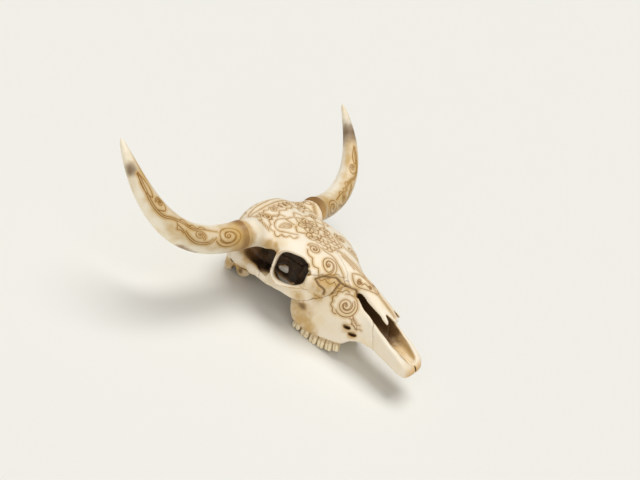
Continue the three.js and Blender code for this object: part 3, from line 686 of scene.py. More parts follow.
def stem(*points):
    """A smooth line through a few points."""
    points = np.array(points, float)
    reach = np.concatenate(((0,), np.cumsum(np.linalg.norm(np.diff(points, axis=0), axis=1))))
    t = np.linspace(0, reach[-1], int(reach[-1]) + 4)
    return np.stack([profile(np.stack((reach, column), axis=1))(t) for column in points.T], axis=1)


def beside(line, gap):
    """The line moved to its left by a gap, which may change along it."""
    heading = np.gradient(line, axis=0)
    left = np.stack((-heading[:, 1], heading[:, 0]), axis=1)
    left /= np.maximum(np.linalg.norm(left, axis=1, keepdims=True), 1e-6)
    return line + left * np.broadcast_to(gap, len(line))[:, None]


def scallops(line, count, height):
    """Bows along one side of a line, as on the edge of a lobed leaf."""
    return beside(line, height * np.abs(np.sin(math.pi * count * np.linspace(0, 1, len(line)))))


def volute(centre, radius, turns, start, hand=1):
    """A curled band: two spirals that run side by side, and its eye."""
    inner = spiral(centre, 0.72 * radius, 0.6 * turns, start, hand)
    return [spiral(centre, radius, turns, start, hand), inner[len(inner) // 3:], ring(centre, 0.12 * radius)]


print("one volute is drawn with", len(volute((0, 0), 15, 2.2, 0.4)), "lines")

# %% Laying a sheet on the bone
SHEET_HEIGHT = 45
TRACE_DEPTH = 150
TRACE_STEP = 0.75
ABOVE = dict(centre=(0, 0, 190), across=(1, 0, 0), up=(0, 1, 0))
ROSETTE = (0.0, 351.0)


def stencil(lines, centre, across, up):
    """Points of flat lines on the bone: the sheet lies at centre and is traced straight inwards."""
    across, up = np.array(across, float), np.array(up, float)
    across /= np.linalg.norm(across)
    inwards = -np.cross(across, up)
    inwards /= np.linalg.norm(inwards)
    up = np.cross(across, inwards)
    traced = []
    for line in lines:
        start = np.array(centre, float) + line[:, :1] * across + line[:, 1:] * up - SHEET_HEIGHT * inwards
        depth = np.full(len(line), np.nan)
        for step in np.arange(0, TRACE_DEPTH, TRACE_STEP):
            hit = np.isnan(depth) & (field_at(start + step * inwards) < 0)
            depth[hit] = step
        found = ~np.isnan(depth)
        points = (start + np.nan_to_num(depth)[:, None] * inwards)[found]
        for _ in range(2):
            points = points - outward(points) * field_at(points)[:, None]
        traced.append(points)
    return traced


print("middle of the rosette on the bone:", stencil([np.array([ROSETTE])], **ABOVE)[0].round(1))

# %% Scrollwork of the forehead
PETALS = 7
uneven_hand = np.random.default_rng(11)
forehead_lines = [ring(ROSETTE, 6.5), ring(ROSETTE, 2.5)]
for n in range(PETALS):
    heading = 360 * n / PETALS + 8 + uneven_hand.uniform(-6, 6)
    far = 30 + uneven_hand.uniform(-3, 4)
    forehead_lines.append(petal(ROSETTE, heading, 8, far, 11))
    forehead_lines.append(petal(ROSETTE, heading, 10, 0.7 * far, 1.5)[:24])
    forehead_lines.append(petal(ROSETTE, heading + 26, 22, far + 19, 13)[10:38])
lobed_leaf = stem((30, 398), (52, 408), (76, 398), (82, 376), (70, 352), (58, 338))
crest = stem((96, 428), (74, 440), (40, 441), (0, 439))
vine = stem((66, 302), (72, 284), (76, 266), (72, 244), (58, 226), (42, 208))
side_lines = [
    petal((40, 370), 25, 0, 30, 8),
    petal((40, 370), 25, 4, 22, 3),
    scallops(lobed_leaf, 7, 6),
    beside(lobed_leaf, -7),
    stem((81, 424), (98, 436), (84, 447), (58, 449), (30, 447), (0, 446)),
    scallops(crest, 6, 5),
    scallops(stem((104, 448), (86, 464), (54, 470), (22, 471), (0, 471)), 6, -6),
    stem((92, 446), (78, 457), (50, 462), (24, 460), (0, 462)),
    stem((50, 418), (36, 410), (24, 418), (10, 412), (0, 416)),
    scallops(vine, 5, 5),
    stem((36, 300), (34, 280), (30, 258), (34, 236), (36, 216)),
    petal((38, 322), 205, 0, 26, 7),
    petal((38, 322), 150, 0, 24, 7),
    petal((96, 412), 100, 0, 26, 6),
]
side_lines += volute((66, 420), 15, 2.2, 0.4)
side_lines += volute((30, 428), 11, 1.8, 3.4, -1)
side_lines += volute((9, 427), 7, 1.5, 0.6)
side_lines += volute((52, 295), 15, 2.2, 1.2)
side_lines += volute((52, 250), 20, 2.4, 5.6, -1)
for row, y in enumerate((316, 306, 296, 286, 276)):
    for column in range(2):
        tongue = (8 + 11 * column + 5 * (row % 2), y)
        side_lines.append(ring(tongue, 6.5, 170, 200))
for n in range(7):
    t = n / 6
    side_lines.append(stem((100 - 12 * t, 416 - 22 * t), (106 - 12 * t, 411 - 22 * t)))
print(len(forehead_lines) + len(side_lines), "lines on the forehead")

# %% Scrollwork of the nose and cheeks
nose_lines = [
    petal((19, 208), 256, 0, 66, 10),
    stem((18, 180), (12, 177), (11, 172), (11, 168)),
    stem((2.2, 262), (2.2, 200), (2.2, 140), (2.2, 92)),
    stem((5.5, 250), (7, 222), (8, 212)),
]
nose_lines += volute((16, 188), 6, 1.6, 4.4)
nose_lines += volute((9, 163), 5, 1.5, 1.2)
cheek_leaf = stem((-18, -20), (-30, -32), (-44, -36), (-52, -32))
cheek_lines = [
    ring((0, 0), 24, 60, 250),
    scallops(ring((2, 0), 27, 290, 150), 5, -4),
    stem((-22, -12), (-30, -22), (-38, -26), (-44, -24)),
    scallops(cheek_leaf, 3, -4),
    petal((-24, -18), 222, 0, 26, 4),
]
cheek_lines += volute((0, 0), 19, 2.3, 2.2)
print(len(nose_lines), "lines on each side of the nose,", len(cheek_lines), "on each cheek")

# %% Trace all of it on both sides
CHEEK = dict(centre=(50, 184, 99), across=(0.3, 0.94, 0.12), up=(-0.45, 0.03, 0.9))


def both_sides(traced):
    return traced + [points * (-1, 1, 1) for points in traced]


bone_lines = stencil(forehead_lines, **ABOVE)
bone_lines += both_sides(stencil(side_lines, **ABOVE))
bone_lines += both_sides(stencil(nose_lines, **ABOVE))
bone_lines += both_sides(stencil(cheek_lines, **CHEEK))
total = sum(np.linalg.norm(np.diff(points, axis=0), axis=1).sum() for points in bone_lines)
print("engraved line on the bone:", round(total / 1000, 2), "m")

# %% [markdown]
# ## Crevices
# In front of the eye socket the sutures gape, and these crevices are coloured darker than any carving.
# Each is a line through a few points in space, drawn onto the bone.

# %% Crevices in front of the eye
CREVICES = [
    [(86, 253, 136), (72, 245, 143), (61, 234, 144), (51, 225, 144), (44, 211, 135), (37, 198, 133),
     (30, 184, 132), (30, 173, 119)],
    [(85, 250, 134), (84, 242, 127), (79, 234, 122), (77, 230, 119), (74, 231, 106)],
    [(65, 217, 114), (57, 215, 126), (48, 215, 134)],
]


def on_bone(path):
    """A smooth line through points in space, drawn to the nearest bone."""
    points = stem(*path)
    for _ in range(5):
        points = points - outward(points) * field_at(points)[:, None]
    return points


crevices = both_sides([on_bone(path) for path in CREVICES])
print(len(crevices), "crevices")

# %% [markdown]
# ## Helpers for node trees
# Engraving, teeth and horns follow rules, so Geometry Nodes make them. The helpers below start a tree
# with named inputs, wire nodes and turn the result back into a plain mesh.

# %% Node tree helpers
def new_tree(name, inputs):
    tree = bpy.data.node_groups.new(name, "GeometryNodeTree")
    tree.interface.new_socket("Geometry", in_out="INPUT", socket_type="NodeSocketGeometry")
    for label, kind in inputs:
        tree.interface.new_socket(label, in_out="INPUT", socket_type="NodeSocket" + kind)
    tree.interface.new_socket("Geometry", in_out="OUTPUT", socket_type="NodeSocketGeometry")
    return tree, tree.nodes.new("NodeGroupInput").outputs, tree.nodes.new("NodeGroupOutput").inputs


def put(tree, kind, settings=None, **wires):
    """A node with its settings, its named inputs wired to sockets or set to plain values."""
    node = tree.nodes.new(kind)
    for key, value in (settings or {}).items():
        setattr(node, key, value)
    for label, value in wires.items():
        by_number = label[0] == "n" and label[1:].isdigit()
        socket = node.inputs[int(label[1:]) if by_number else label]
        if isinstance(value, bpy.types.NodeSocket):
            tree.links.new(value, socket)
        else:
            socket.default_value = value
    return node


def reckon(tree, operation, a, b=0.0):
    return put(tree, "ShaderNodeMath", {"operation": operation}, n0=a, n1=b).outputs[0]


def run_tree(obj, tree, values):
    """Runs a tree on an object, whose mesh becomes the result."""
    modifier = obj.modifiers.new(tree.name, "NODES")
    modifier.node_group = tree
    for item in tree.interface.items_tree:
        if item.in_out == "INPUT" and item.name in values:
            modifier[item.identifier] = values[item.name]
    graph = bpy.context.evaluated_depsgraph_get()
    shown = obj.evaluated_get(graph)
    result = bpy.data.meshes.new_from_object(shown, preserve_all_data_layers=True, depsgraph=graph)
    obj.modifiers.remove(modifier)
    obj.data = result
    result.name = obj.name
    return obj


def new_object(name, points, edges, faces):
    mesh = bpy.data.meshes.new(name)
    mesh.from_pydata(np.asarray(points).tolist(), np.asarray(edges).tolist(), np.asarray(faces).tolist())
    obj = bpy.data.objects.new(name, mesh)
    bpy.context.scene.collection.objects.link(obj)
    return obj


# %% [markdown]
# ## Finishes
# The bone is ivory with a soft polish. Stain has gathered where a cloth can't reach and tints the edge of a
# hollow golden; further in, painted shade turns it brown and almost black deep inside. The same stain fills
# the engraved lines. Painting this by hand would be slow, so numbers on the mesh say how much each spot
# takes: recess and hollow for its depth and so for the golden stain and the painted shade; gold, brown and
# rust for stained patches; halo and engraved for the carving. Faint noise keeps most of their edges uneven.

# %% Node helpers for finishes
def new_finish(name, roughness):
    material = bpy.data.materials.new(name)
    material.use_nodes = True
    shader = material.node_tree.nodes["Principled BSDF"]
    shader.inputs["Roughness"].default_value = roughness
    shader.inputs["Specular IOR Level"].default_value = 0.3
    return material, material.node_tree, shader


def reading(tree, name):
    return put(tree, "ShaderNodeAttribute", {"attribute_name": name}).outputs["Fac"]


def stretch(tree, value, start, stop, low=0.0, high=1.0):
    smooth = {"interpolation_type": "SMOOTHSTEP"}
    return put(tree, "ShaderNodeMapRange", smooth, n0=value, n1=start, n2=stop, n3=low, n4=high).outputs[0]


def over(tree, share, base, top):
    node = tree.nodes.new("ShaderNodeMix")
    node.data_type = "RGBA"
    for label, value in ((0, share), (6, base), (7, top)):
        if isinstance(value, bpy.types.NodeSocket):
            tree.links.new(value, node.inputs[label])
        elif label == 0:
            node.inputs[label].default_value = value
        else:
            node.inputs[label].default_value = (*value, 1.0)
    return node.outputs[2]


def grain(tree, scale, detail=3.0):
    place = put(tree, "ShaderNodeTexCoord").outputs["Object"]
    noise = put(tree, "ShaderNodeTexNoise", Vector=place, Scale=scale, Detail=detail, Roughness=0.55)
    return noise.outputs["Fac"]


def stained(tree, base, amount, start, stop, share, top):
    """A colour laid over the base, from none at the start of an amount to a share at its stop."""
    return over(tree, stretch(tree, amount, start, stop, 0.0, share), base, top)


def blotchy(tree, name, uneven):
    return reckon(tree, "ADD", reading(tree, name), uneven)


def line_stain(tree, cloud):
    """How much stain an engraved line holds, thinner here and there."""
    return reckon(tree, "MULTIPLY", reading(tree, "engraved"), stretch(tree, cloud, 0.3, 0.7, 0.6, 1.0))


print("finishes so far:", len(bpy.data.materials))

# %% Bone
IVORY = (0.89, 0.785, 0.62)
CREAM = (0.86, 0.71, 0.47)
TAN = (0.74, 0.53, 0.25)
GOLD = (0.57, 0.34, 0.085)
BROWN = (0.17, 0.085, 0.03)
# painted shade: almost black deep in the eye socket, the temple and the nose
SHADE_BLACK = (0.03, 0.018, 0.009)
STAIN = (0.27, 0.115, 0.014)
RUST = (0.72, 0.42, 0.12)

bone, tree, shader = new_finish("ivory_bone", 0.42)
cloud = grain(tree, 22)
patch = grain(tree, 60, 4)
blotch = reckon(tree, "SUBTRACT", patch, 0.5)
uneven = reckon(tree, "MULTIPLY", blotch, 0.9)
halo = reckon(tree, "ADD", reading(tree, "halo"), reckon(tree, "MULTIPLY", uneven, 0.35))
# hollow and recess carry painted shade; stain_and_shade adds uneven stain to that depth
hollow = reckon(tree, "MULTIPLY", reading(tree, "hollow"), 0.72)
depth = reckon(tree, "MAXIMUM", reading(tree, "recess"), hollow)
stain_and_shade = reckon(tree, "ADD", depth, reckon(tree, "MULTIPLY", blotch, 0.3))
colour = over(tree, stretch(tree, cloud, 0.43, 0.75), IVORY, CREAM)
colour = stained(tree, colour, reading(tree, "rust"), 0, 1, 0.8, RUST)
colour = stained(tree, colour, halo, 0.2, 0.95, 0.15, TAN)
colour = stained(tree, colour, blotchy(tree, "gold", uneven), 0.2, 0.9, 0.8, GOLD)
# golden stain at the edge of a recess, then painted shade: brown, and near black deep inside
colour = stained(tree, colour, stain_and_shade, 0.08, 0.32, 0.75, GOLD)
colour = stained(tree, colour, stain_and_shade, 0.3, 0.52, 1.0, BROWN)
colour = stained(tree, colour, stain_and_shade, 0.52, 0.78, 1.0, SHADE_BLACK)
colour = stained(tree, colour, halo, 0.72, 1, 0.5, GOLD)
colour = stained(tree, colour, line_stain(tree, cloud), 0.05, 0.75, 0.95, STAIN)
colour = stained(tree, colour, blotchy(tree, "brown", uneven), 0.25, 0.9, 0.8, BROWN)
tree.links.new(colour, shader.inputs["Base Color"])
pores = put(tree, "ShaderNodeBump", Height=grain(tree, 700, 2), Strength=0.12, Distance=0.0006)
pits = reckon(tree, "MULTIPLY", grain(tree, 240, 4), reading(tree, "gold"))
rough = put(tree, "ShaderNodeBump", Height=pits, Strength=0.6, Distance=0.003, Normal=pores.outputs[0])
tree.links.new(rough.outputs[0], shader.inputs["Normal"])
print("finish:", bone.name)

# %% [markdown]
# ## Bones with their engraving
# A carver cuts a groove of even width along each line. The tree below measures how far every vertex is
# from the nearest line, sinks those that are close and keeps two numbers for the stain. The skin is made
# finer near the lines first, because a groove narrower than the mesh would come out ragged.

# %% Engraving tree
BONE_CUT = {"Line width": 3.1 * MM, "Halo width": 18 * MM, "Depth": 1 * MM}
HORN_CUT = {"Line width": 3.3 * MM, "Halo width": 14 * MM, "Depth": 1 * MM}
engrave, given, made = new_tree("Engrave lines", [
    ("Lines", "Object"), ("Line width", "Float"), ("Halo width", "Float"), ("Depth", "Float"),
    ("Finish", "Material"),
])
lines = put(engrave, "GeometryNodeObjectInfo", Object=given["Lines"]).outputs["Geometry"]
away = put(engrave, "GeometryNodeProximity", {"target_element": "EDGES"}, n0=lines).outputs["Distance"]
half_line = reckon(engrave, "MULTIPLY", given["Line width"], 0.5)
in_groove = stretch(engrave, away, 0.0, half_line, 1.0, 0.0)
in_halo = stretch(engrave, away, 0.0, given["Halo width"], 1.0, 0.0)
kept = given["Geometry"]
for name, value in (("engraved", in_groove), ("halo", in_halo)):
    kept = put(engrave, "GeometryNodeStoreNamedAttribute", {"data_type": "FLOAT", "domain": "POINT"},
               Geometry=kept, Name=name, Value=value).outputs[0]
sink = reckon(engrave, "MULTIPLY", reckon(engrave, "MULTIPLY", in_groove, given["Depth"]), -1.0)
normal = put(engrave, "GeometryNodeInputNormal").outputs[0]
offset = put(engrave, "ShaderNodeVectorMath", {"operation": "SCALE"}, Vector=normal, Scale=sink).outputs[0]
sunk = put(engrave, "GeometryNodeSetPosition", Geometry=kept, Offset=offset).outputs[0]
dressed = put(engrave, "GeometryNodeSetMaterial", Geometry=sunk, Material=given["Finish"]).outputs[0]
engrave.links.new(dressed, made["Geometry"])
print("tree:", engrave.name)

# %% Lines as an object that the tree can read
def line_object(name, traced):
    points = at_rest(np.concatenate(traced))
    edges, start = [], 0
    for line in traced:
        edges.append(np.stack((np.arange(len(line) - 1), np.arange(1, len(line))), axis=1) + start)
        start += len(line)
    return new_object(name, points, np.concatenate(edges), [])


bone_scroll = line_object("bone_scroll", bone_lines)
print("points to measure from:", len(bone_scroll.data.vertices))

# %% Finer skin near the lines
COARSE = 4.0


def near_lines(points, traced):
    """Which points are within a cell or two of a line."""
    cells = {tuple(cell) for cell in np.floor(np.concatenate(traced) / COARSE).astype(int)}
    steps = [(a, b, c) for a in (-1, 0, 1) for b in (-1, 0, 1) for c in (-1, 0, 1)]
    wide = {(i + a, j + b, k + c) for i, j, k in cells for a, b, c in steps}
    return np.array([tuple(cell) in wide for cell in np.floor(points / COARSE).astype(int).tolist()])


def refine(obj, close):
    mesh = bmesh.new()
    mesh.from_mesh(obj.data)
    edges = [edge for edge in mesh.edges if close[edge.verts[0].index] and close[edge.verts[1].index]]
    bmesh.ops.subdivide_edges(mesh, edges=edges, cuts=1, use_grid_fill=True)
    mesh.to_mesh(obj.data)
    mesh.free()


print("the skin is finer within", COARSE, "to", 2 * COARSE, "mm of a line")

# %% [markdown]
# ## Where stain and painted shade gather
# Dust and stain stay where the bone closes in on itself, and deeper in the colour darkens as painted shade.
# The field tells how soon a straight way out of the bone meets bone again, and that gives the depth of each
# spot. Some stains follow no such rule. Listed patches stain the cheek and the ear, and a fringe follows
# the crevices and the end of the right sheath.

# %% How deep a spot lies
LOOK_OUT = (6.0, 13.0, 24.0, 38.0)
OPEN_ROOM = 0.8
RECESS_GAIN = 1.2
NOSE_DEEPEST = 0.74


def fade(value, none, full):
    """0 where a value reaches none, 1 where it reaches full, in step between."""
    return np.clip((value - none) / (full - none), 0, 1)


# The depth from recess_of and hollow_of is painted as shade: golden stain at its edge, brown to near black
# deeper in.
def recess_of(points):
    """0 on open bone, towards 1 deep in a hollow: how soon a straight way out meets bone again."""
    normals = outward(points)
    shut = np.zeros(len(points))
    for reach in LOOK_OUT:
        room = field_at(points + normals * reach) / reach
        shut += np.clip(OPEN_ROOM - room, 0, 1) / len(LOOK_OUT)
    return np.clip(shut * RECESS_GAIN, 0, 1)


def hollow_of(points):
    """How far a spot lies inside the eye socket, the temple or the nose, from 0 to 1."""
    x, y, z = np.abs(points[:, 0]), points[:, 1], points[:, 2]
    out, away = orbit_place(x, y, z)
    socket = fade(away, ORBIT_RADIUS + 5, ORBIT_RADIUS + 2) * fade(out, -1, -16)
    across = fade(x, 98, 82) * fade(z, 157, 149) * fade(z, 60, 74)
    temple = across * fade(y, 318, 332) * fade(y, 492, 408)
    nose = fade(nose_cavity(x, y, z), 2.5, 1.0) * np.minimum(fade(y, 16, 126), NOSE_DEEPEST)
    return np.maximum(np.maximum(socket, temple), nose)


print("recess on the forehead:", recess_of(np.array([(0.0, 351.0, 195.0)])).round(2))
print("hollow in the temple:", hollow_of(np.array([(70.0, 380.0, 110.0)])).round(2))

# %% Stained patches
GOLD_PATCHES = [(84, 242, 124, 38), (68, 230, 132, 34), (56, 212, 128, 24), (74, 240, 98, 30),
                (78, 268, 56, 46), (98, 276, 84, 26), (74, 262, 30, 44), (70, 240, 10, 40), (60, 164, 58, 24),
                (53, 149, 46, 20), (68, 452, 48, 40), (72, 484, 52, 34), (112, 424, 138, 22)]
BROWN_PATCHES = [(80, 266, 60, 22), (66, 446, 46, 14), (84, 430, 118, 34), (100, 430, 142, 22)]
CREVICE_REACH = 5.5
GLOW_REACH = 16.0
CREVICE_DEPTH = 3.0
RING_REACH = 24
RUST_EDGE, RUST_FULL = 20, 6


def patches_of(points, patches):
    """1 in the middle of the nearest round patch and 0 outside all of them."""
    total = np.zeros(len(points))
    for x, y, z, radius in patches:
        away = np.linalg.norm(np.abs(points * (1, 0, 0)) + points * (0, 1, 1) - (x, y, z), axis=1)
        total = np.maximum(total, fade(away, radius, 0))
    return total


def beside_crevice(points, reach):
    """1 on a crevice, 0 from a given reach away."""
    dark = np.zeros(len(points))
    for spot in np.concatenate(crevices)[::2]:
        close = np.flatnonzero(np.abs(points[:, 1] - spot[1]) < reach)
        away = np.linalg.norm(points[close] - spot, axis=1)
        dark[close] = np.maximum(dark[close], 1 - away / reach)
    return dark


def beside_ring(points):
    """1 on the right horn's core where the sheath ends, 0 further in."""
    root = -horn_points["right"][0][0]
    return fade(points[:, 0], root + RING_REACH, root)


def put_number(obj, name, values):
    attribute = obj.data.attributes.new(name, "FLOAT", "POINT")
    attribute.data.foreach_set("value", np.asarray(values, np.float32))


print(len(GOLD_PATCHES), "golden and", len(BROWN_PATCHES), "brown patches on each side")

# %% Make the bones
def skull_frame(obj):
    """The object's vertices, back in the skull's own frame."""
    flat = np.empty(len(obj.data.vertices) * 3, np.float32)
    obj.data.vertices.foreach_get("co", flat)
    x, y, z = (flat.reshape(-1, 3) / MM - REST_SHIFT).T
    back, up = math.cos(REST_TILT), math.sin(REST_TILT)
    return np.stack((x, back * y - up * z, up * y + back * z), axis=1)


def rest_on_floor(obj):
    """Flattens what would reach under the floor."""
    flat = np.empty(len(obj.data.vertices) * 3, np.float32)
    obj.data.vertices.foreach_get("co", flat)
    flat[2::3] = np.maximum(flat[2::3], 0)
    obj.data.vertices.foreach_set("co", flat)


for name, (points, faces) in bone_skins.items():
    obj = new_object("bone_" + name, at_rest(points), [], faces)
    refine(obj, near_lines(points, bone_lines + crevices))
    fine = skull_frame(obj)
    cracked = beside_crevice(fine, CREVICE_REACH)
    sunk = at_rest(fine - outward(fine) * CREVICE_DEPTH * cracked[:, None] ** 2)
    obj.data.vertices.foreach_set("co", sunk.astype(np.float32).ravel())
    # recess and hollow: painted shade in every recess and in the socket, temple and nose
    put_number(obj, "recess", recess_of(fine))
    put_number(obj, "hollow", hollow_of(fine))
    golden = np.maximum(patches_of(fine, GOLD_PATCHES), beside_crevice(fine, GLOW_REACH))
    put_number(obj, "gold", np.maximum(golden, beside_ring(fine)))
    put_number(obj, "brown", np.maximum(patches_of(fine, BROWN_PATCHES), cracked))
    put_number(obj, "rust", fade(fine[:, 1], RUST_EDGE, RUST_FULL))
    run_tree(obj, engrave, {"Lines": bone_scroll, "Finish": bone, **BONE_CUT})
    rest_on_floor(obj)
    obj.data.shade_smooth()
    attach(obj, "root")
    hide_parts(name)
    print(obj.name, len(obj.data.polygons), "faces")

# %% [markdown]
# ## Cheek teeth
# Six grinding teeth stand on each side, from a small first premolar to the last molar. They are alike
# apart from their size, so one tooth with its two pillars is modelled once and a tree sets a copy of it
# on each place of the row.

# %% One tooth
TOOTH_SIDES = 48
TOOTH_FOLD, FOLD_WIDTH = 0.26, 0.14
TOOTH_LEVELS = ((0.06, 0.02), (0.03, 0.5), (0.0, 0.78), (0.02, 0.9), (0.06, 0.97), (0.2, 1.0), (0.5, 0.95),
                (1.0, 0.84))
GUM_LEVEL = 0.3


def tooth_points():
    """Rings of points from the chewing side to the root, and how dark each point is, from 0 to 1."""
    angle = 2 * math.pi * np.arange(TOOTH_SIDES) / TOOTH_SIDES
    c, s = np.cos(angle), np.sin(angle)
    fold = TOOTH_FOLD * np.exp(-((s / FOLD_WIDTH) ** 2))
    across = np.sign(c) * np.abs(c) ** 0.55 * (1 - fold) / 2
    along = np.sign(s) * np.abs(s) ** 0.8 / 2
    # painted shade: darker in the folds, where neighbours meet and towards the root
    gap = np.maximum(fold / TOOTH_FOLD, fade(np.abs(along), 0.36, 0.48))
    rings, dark = [], []
    for level, scale in TOOTH_LEVELS:
        rings.append(np.stack((across * scale, along * scale, np.full(TOOTH_SIDES, level)), axis=1))
        dark.append(np.maximum(gap, float(level > GUM_LEVEL)))
    return np.concatenate(rings), np.concatenate(dark)


points, gap = tooth_points()
n = np.arange(TOOTH_SIDES)
after = (n + 1) % TOOTH_SIDES
band = np.stack((n + TOOTH_SIDES, after + TOOTH_SIDES, after, n), axis=1)
faces = []
for k in range(len(TOOTH_LEVELS) - 1):
    faces += (band + TOOTH_SIDES * k).tolist()
faces.append(n.tolist())
faces.append((n[::-1] + TOOTH_SIDES * (len(TOOTH_LEVELS) - 1)).tolist())
tooth_mesh = bpy.data.meshes.new("one_tooth")
tooth_mesh.from_pydata(points.tolist(), [], faces)
one_tooth = bpy.data.objects.new("one_tooth", tooth_mesh)
bpy.context.scene.collection.objects.link(one_tooth)
put_number(one_tooth, "gap", gap)
print("one tooth:", len(tooth_mesh.polygons), "faces")

# %% Tooth finish
ENAMEL = (0.88, 0.76, 0.52)
TARTAR_AND_SHADE = (0.42, 0.25, 0.09)
tooth, tree, shader = new_finish("tooth_enamel", 0.35)
mottle = grain(tree, 120, 4)
uneven = reckon(tree, "SUBTRACT", mottle, 0.5)
colour = stained(tree, ENAMEL, mottle, 0.5, 0.8, 0.6, TARTAR_AND_SHADE)
# the gap number lays tartar and painted shade in the folds, between teeth and towards the root
colour = stained(tree, colour, blotchy(tree, "gap", uneven), 0.35, 1.0, 0.6, TARTAR_AND_SHADE)
tree.links.new(colour, shader.inputs["Base Color"])
print("finish:", tooth.name)

# %% Tooth row tree
row, given, made = new_tree("Tooth row", [("Tooth", "Object"), ("Finish", "Material")])
copy = put(row, "GeometryNodeObjectInfo", Object=given["Tooth"]).outputs["Geometry"]
size = put(row, "GeometryNodeInputNamedAttribute", {"data_type": "FLOAT_VECTOR"}, Name="size").outputs[0]
lean = put(row, "GeometryNodeInputNamedAttribute", {"data_type": "FLOAT_VECTOR"}, Name="lean").outputs[0]
places = put(row, "GeometryNodeMeshToPoints", Mesh=given["Geometry"]).outputs[0]
copies = put(row, "GeometryNodeInstanceOnPoints", Points=places, Instance=copy, Rotation=lean, Scale=size)
real = put(row, "GeometryNodeRealizeInstances", Geometry=copies.outputs[0]).outputs[0]
dressed = put(row, "GeometryNodeSetMaterial", Geometry=real, Material=given["Finish"]).outputs[0]
row.links.new(dressed, made["Geometry"])
print("tree:", row.name)

# %% Set the two rows
TOOTH_LENGTHS = (15, 18, 19, 21, 24, 24)
TOOTH_WIDTHS = (14, 17, 19, 21, 22, 20)
TOOTH_FRONT_Y = 164.5
TOOTH_ROOT_Z = 30
TOOTH_GAP = 0.6
TOOTH_LEAN = 0.35
tooth_cheek_x = profile([[165, 57], [200, 63], [236, 67.5], [262, 69.5], [286, 69]])
tooth_tip_z = profile([[160, 2], [166, -3], [180, -12], [204, -17.5], [228, -16.5], [254, -11.5], [268, -7],
                       [284, -1]])
for side, name in ((1, "left"), (-1, "right")):
    places, sizes, leans = [], [], []
    front = TOOTH_FRONT_Y
    for length, width in zip(TOOTH_LENGTHS, TOOTH_WIDTHS):
        y = front + length / 2
        front += length
        z = float(tooth_tip_z(y))
        slope = float(tooth_tip_z(y + length / 2) - tooth_tip_z(y - length / 2)) / length
        places.append((side * (float(tooth_cheek_x(y)) - width / 2), y, z))
        sizes.append((width * MM, (length - TOOTH_GAP) * MM, (TOOTH_ROOT_Z - z) * MM))
        leans.append((TOOTH_LEAN * math.atan(slope) - REST_TILT, 0, 0))
    obj = new_object("teeth_" + name, at_rest(places), [], [])
    for label, values in (("size", sizes), ("lean", leans)):
        attribute = obj.data.attributes.new(label, "FLOAT_VECTOR", "POINT")
        attribute.data.foreach_set("vector", np.array(values, np.float32).ravel())
    run_tree(obj, row, {"Tooth": one_tooth, "Finish": tooth})
    rest_on_floor(obj)
    obj.data.shade_smooth()
    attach(obj, "root")
    print(obj.name, len(obj.data.polygons), "faces")
bpy.data.objects.remove(one_tooth)

# %% [markdown]
# ## Horns
# A horn is a sheath that grows along a curve: thick at the root, with a slight collar, and falling to a
# blunt tip. A tree sweeps a circle along the curve and sets its radius from the place along it, so the
# few named sizes say it all.

# %% Horn tree
HORN_RADIUS = 30.0
HORN_RINGS = 340
HORN_SIDES = 150
horn_tree, given, made = new_tree("Horn", [
    ("Root", "Vector"), ("Pull out", "Vector"), ("Pull up", "Vector"), ("Tip", "Vector"), ("Radius", "Float"),
    ("Fall power", "Float"), ("Blunt power", "Float"), ("Tip radius", "Float"), ("Collar rise", "Float"),
    ("Collar length", "Float"), ("Rings", "Int"), ("Sides", "Int"),
])
segment = put(horn_tree, "GeometryNodeCurvePrimitiveBezierSegment", {"mode": "POSITION"},
              Resolution=given["Rings"], Start=given["Root"], End=given["Tip"])
horn_tree.links.new(given["Pull out"], segment.inputs["Start Handle"])
horn_tree.links.new(given["Pull up"], segment.inputs["End Handle"])
path = put(horn_tree, "GeometryNodeResampleCurve", {"mode": "EVALUATED"}, Curve=segment.outputs[0]).outputs[0]
step = put(horn_tree, "GeometryNodeInputIndex").outputs[0]
t = reckon(horn_tree, "DIVIDE", step, given["Rings"])
body = reckon(horn_tree, "SUBTRACT", 1.0, reckon(horn_tree, "POWER", t, given["Fall power"]))
body = reckon(horn_tree, "POWER", reckon(horn_tree, "MAXIMUM", body, 0.0), given["Blunt power"])
body = reckon(horn_tree, "MULTIPLY", body, given["Radius"])
rise = reckon(horn_tree, "SUBTRACT", 1.0, reckon(horn_tree, "DIVIDE", t, given["Collar length"]))
rise = reckon(horn_tree, "MULTIPLY", reckon(horn_tree, "MAXIMUM", rise, 0.0), given["Collar rise"])
radius = reckon(horn_tree, "MAXIMUM", reckon(horn_tree, "ADD", body, rise), given["Tip radius"])
path = put(horn_tree, "GeometryNodeSetCurveNormal", {"mode": "Z_UP"}, Curve=path).outputs[0]
circle = put(horn_tree, "GeometryNodeCurvePrimitiveCircle", {"mode": "RADIUS"},
             Resolution=given["Sides"], Radius=1.0)
sweep = put(horn_tree, "GeometryNodeCurveToMesh", Curve=path, Scale=radius)
horn_tree.links.new(circle.outputs[0], sweep.inputs["Profile Curve"])
sweep.inputs["Fill Caps"].default_value = True
horn_tree.links.new(sweep.outputs[0], made["Geometry"])
print("tree:", horn_tree.name)

# %% [markdown]
# ## Scrollwork of the horns
# A band of stems and spirals runs up the front of each horn. It is drawn on a strip: one number is the
# way along the horn, the other the way round it from the front. The strip is then wrapped on the horn.

# %% Wrapping a strip on the horn
FALL_POWER = 2.17
BLUNT_POWER = 0.55
TIP_RADIUS = 1.2
COLLAR_RISE = 1.6
COLLAR_LENGTH = 0.05
FRONT = {"left": np.array((-0.8, -0.8, 0.3)), "right": np.array((0.0, -0.85, 0.6))}
fine_t = np.linspace(0, 1, 800)


def horn_radius(t):
    bare = HORN_RADIUS * (1 - t**FALL_POWER) ** BLUNT_POWER
    return np.maximum(bare + COLLAR_RISE * np.maximum(0, 1 - t / COLLAR_LENGTH), TIP_RADIUS)


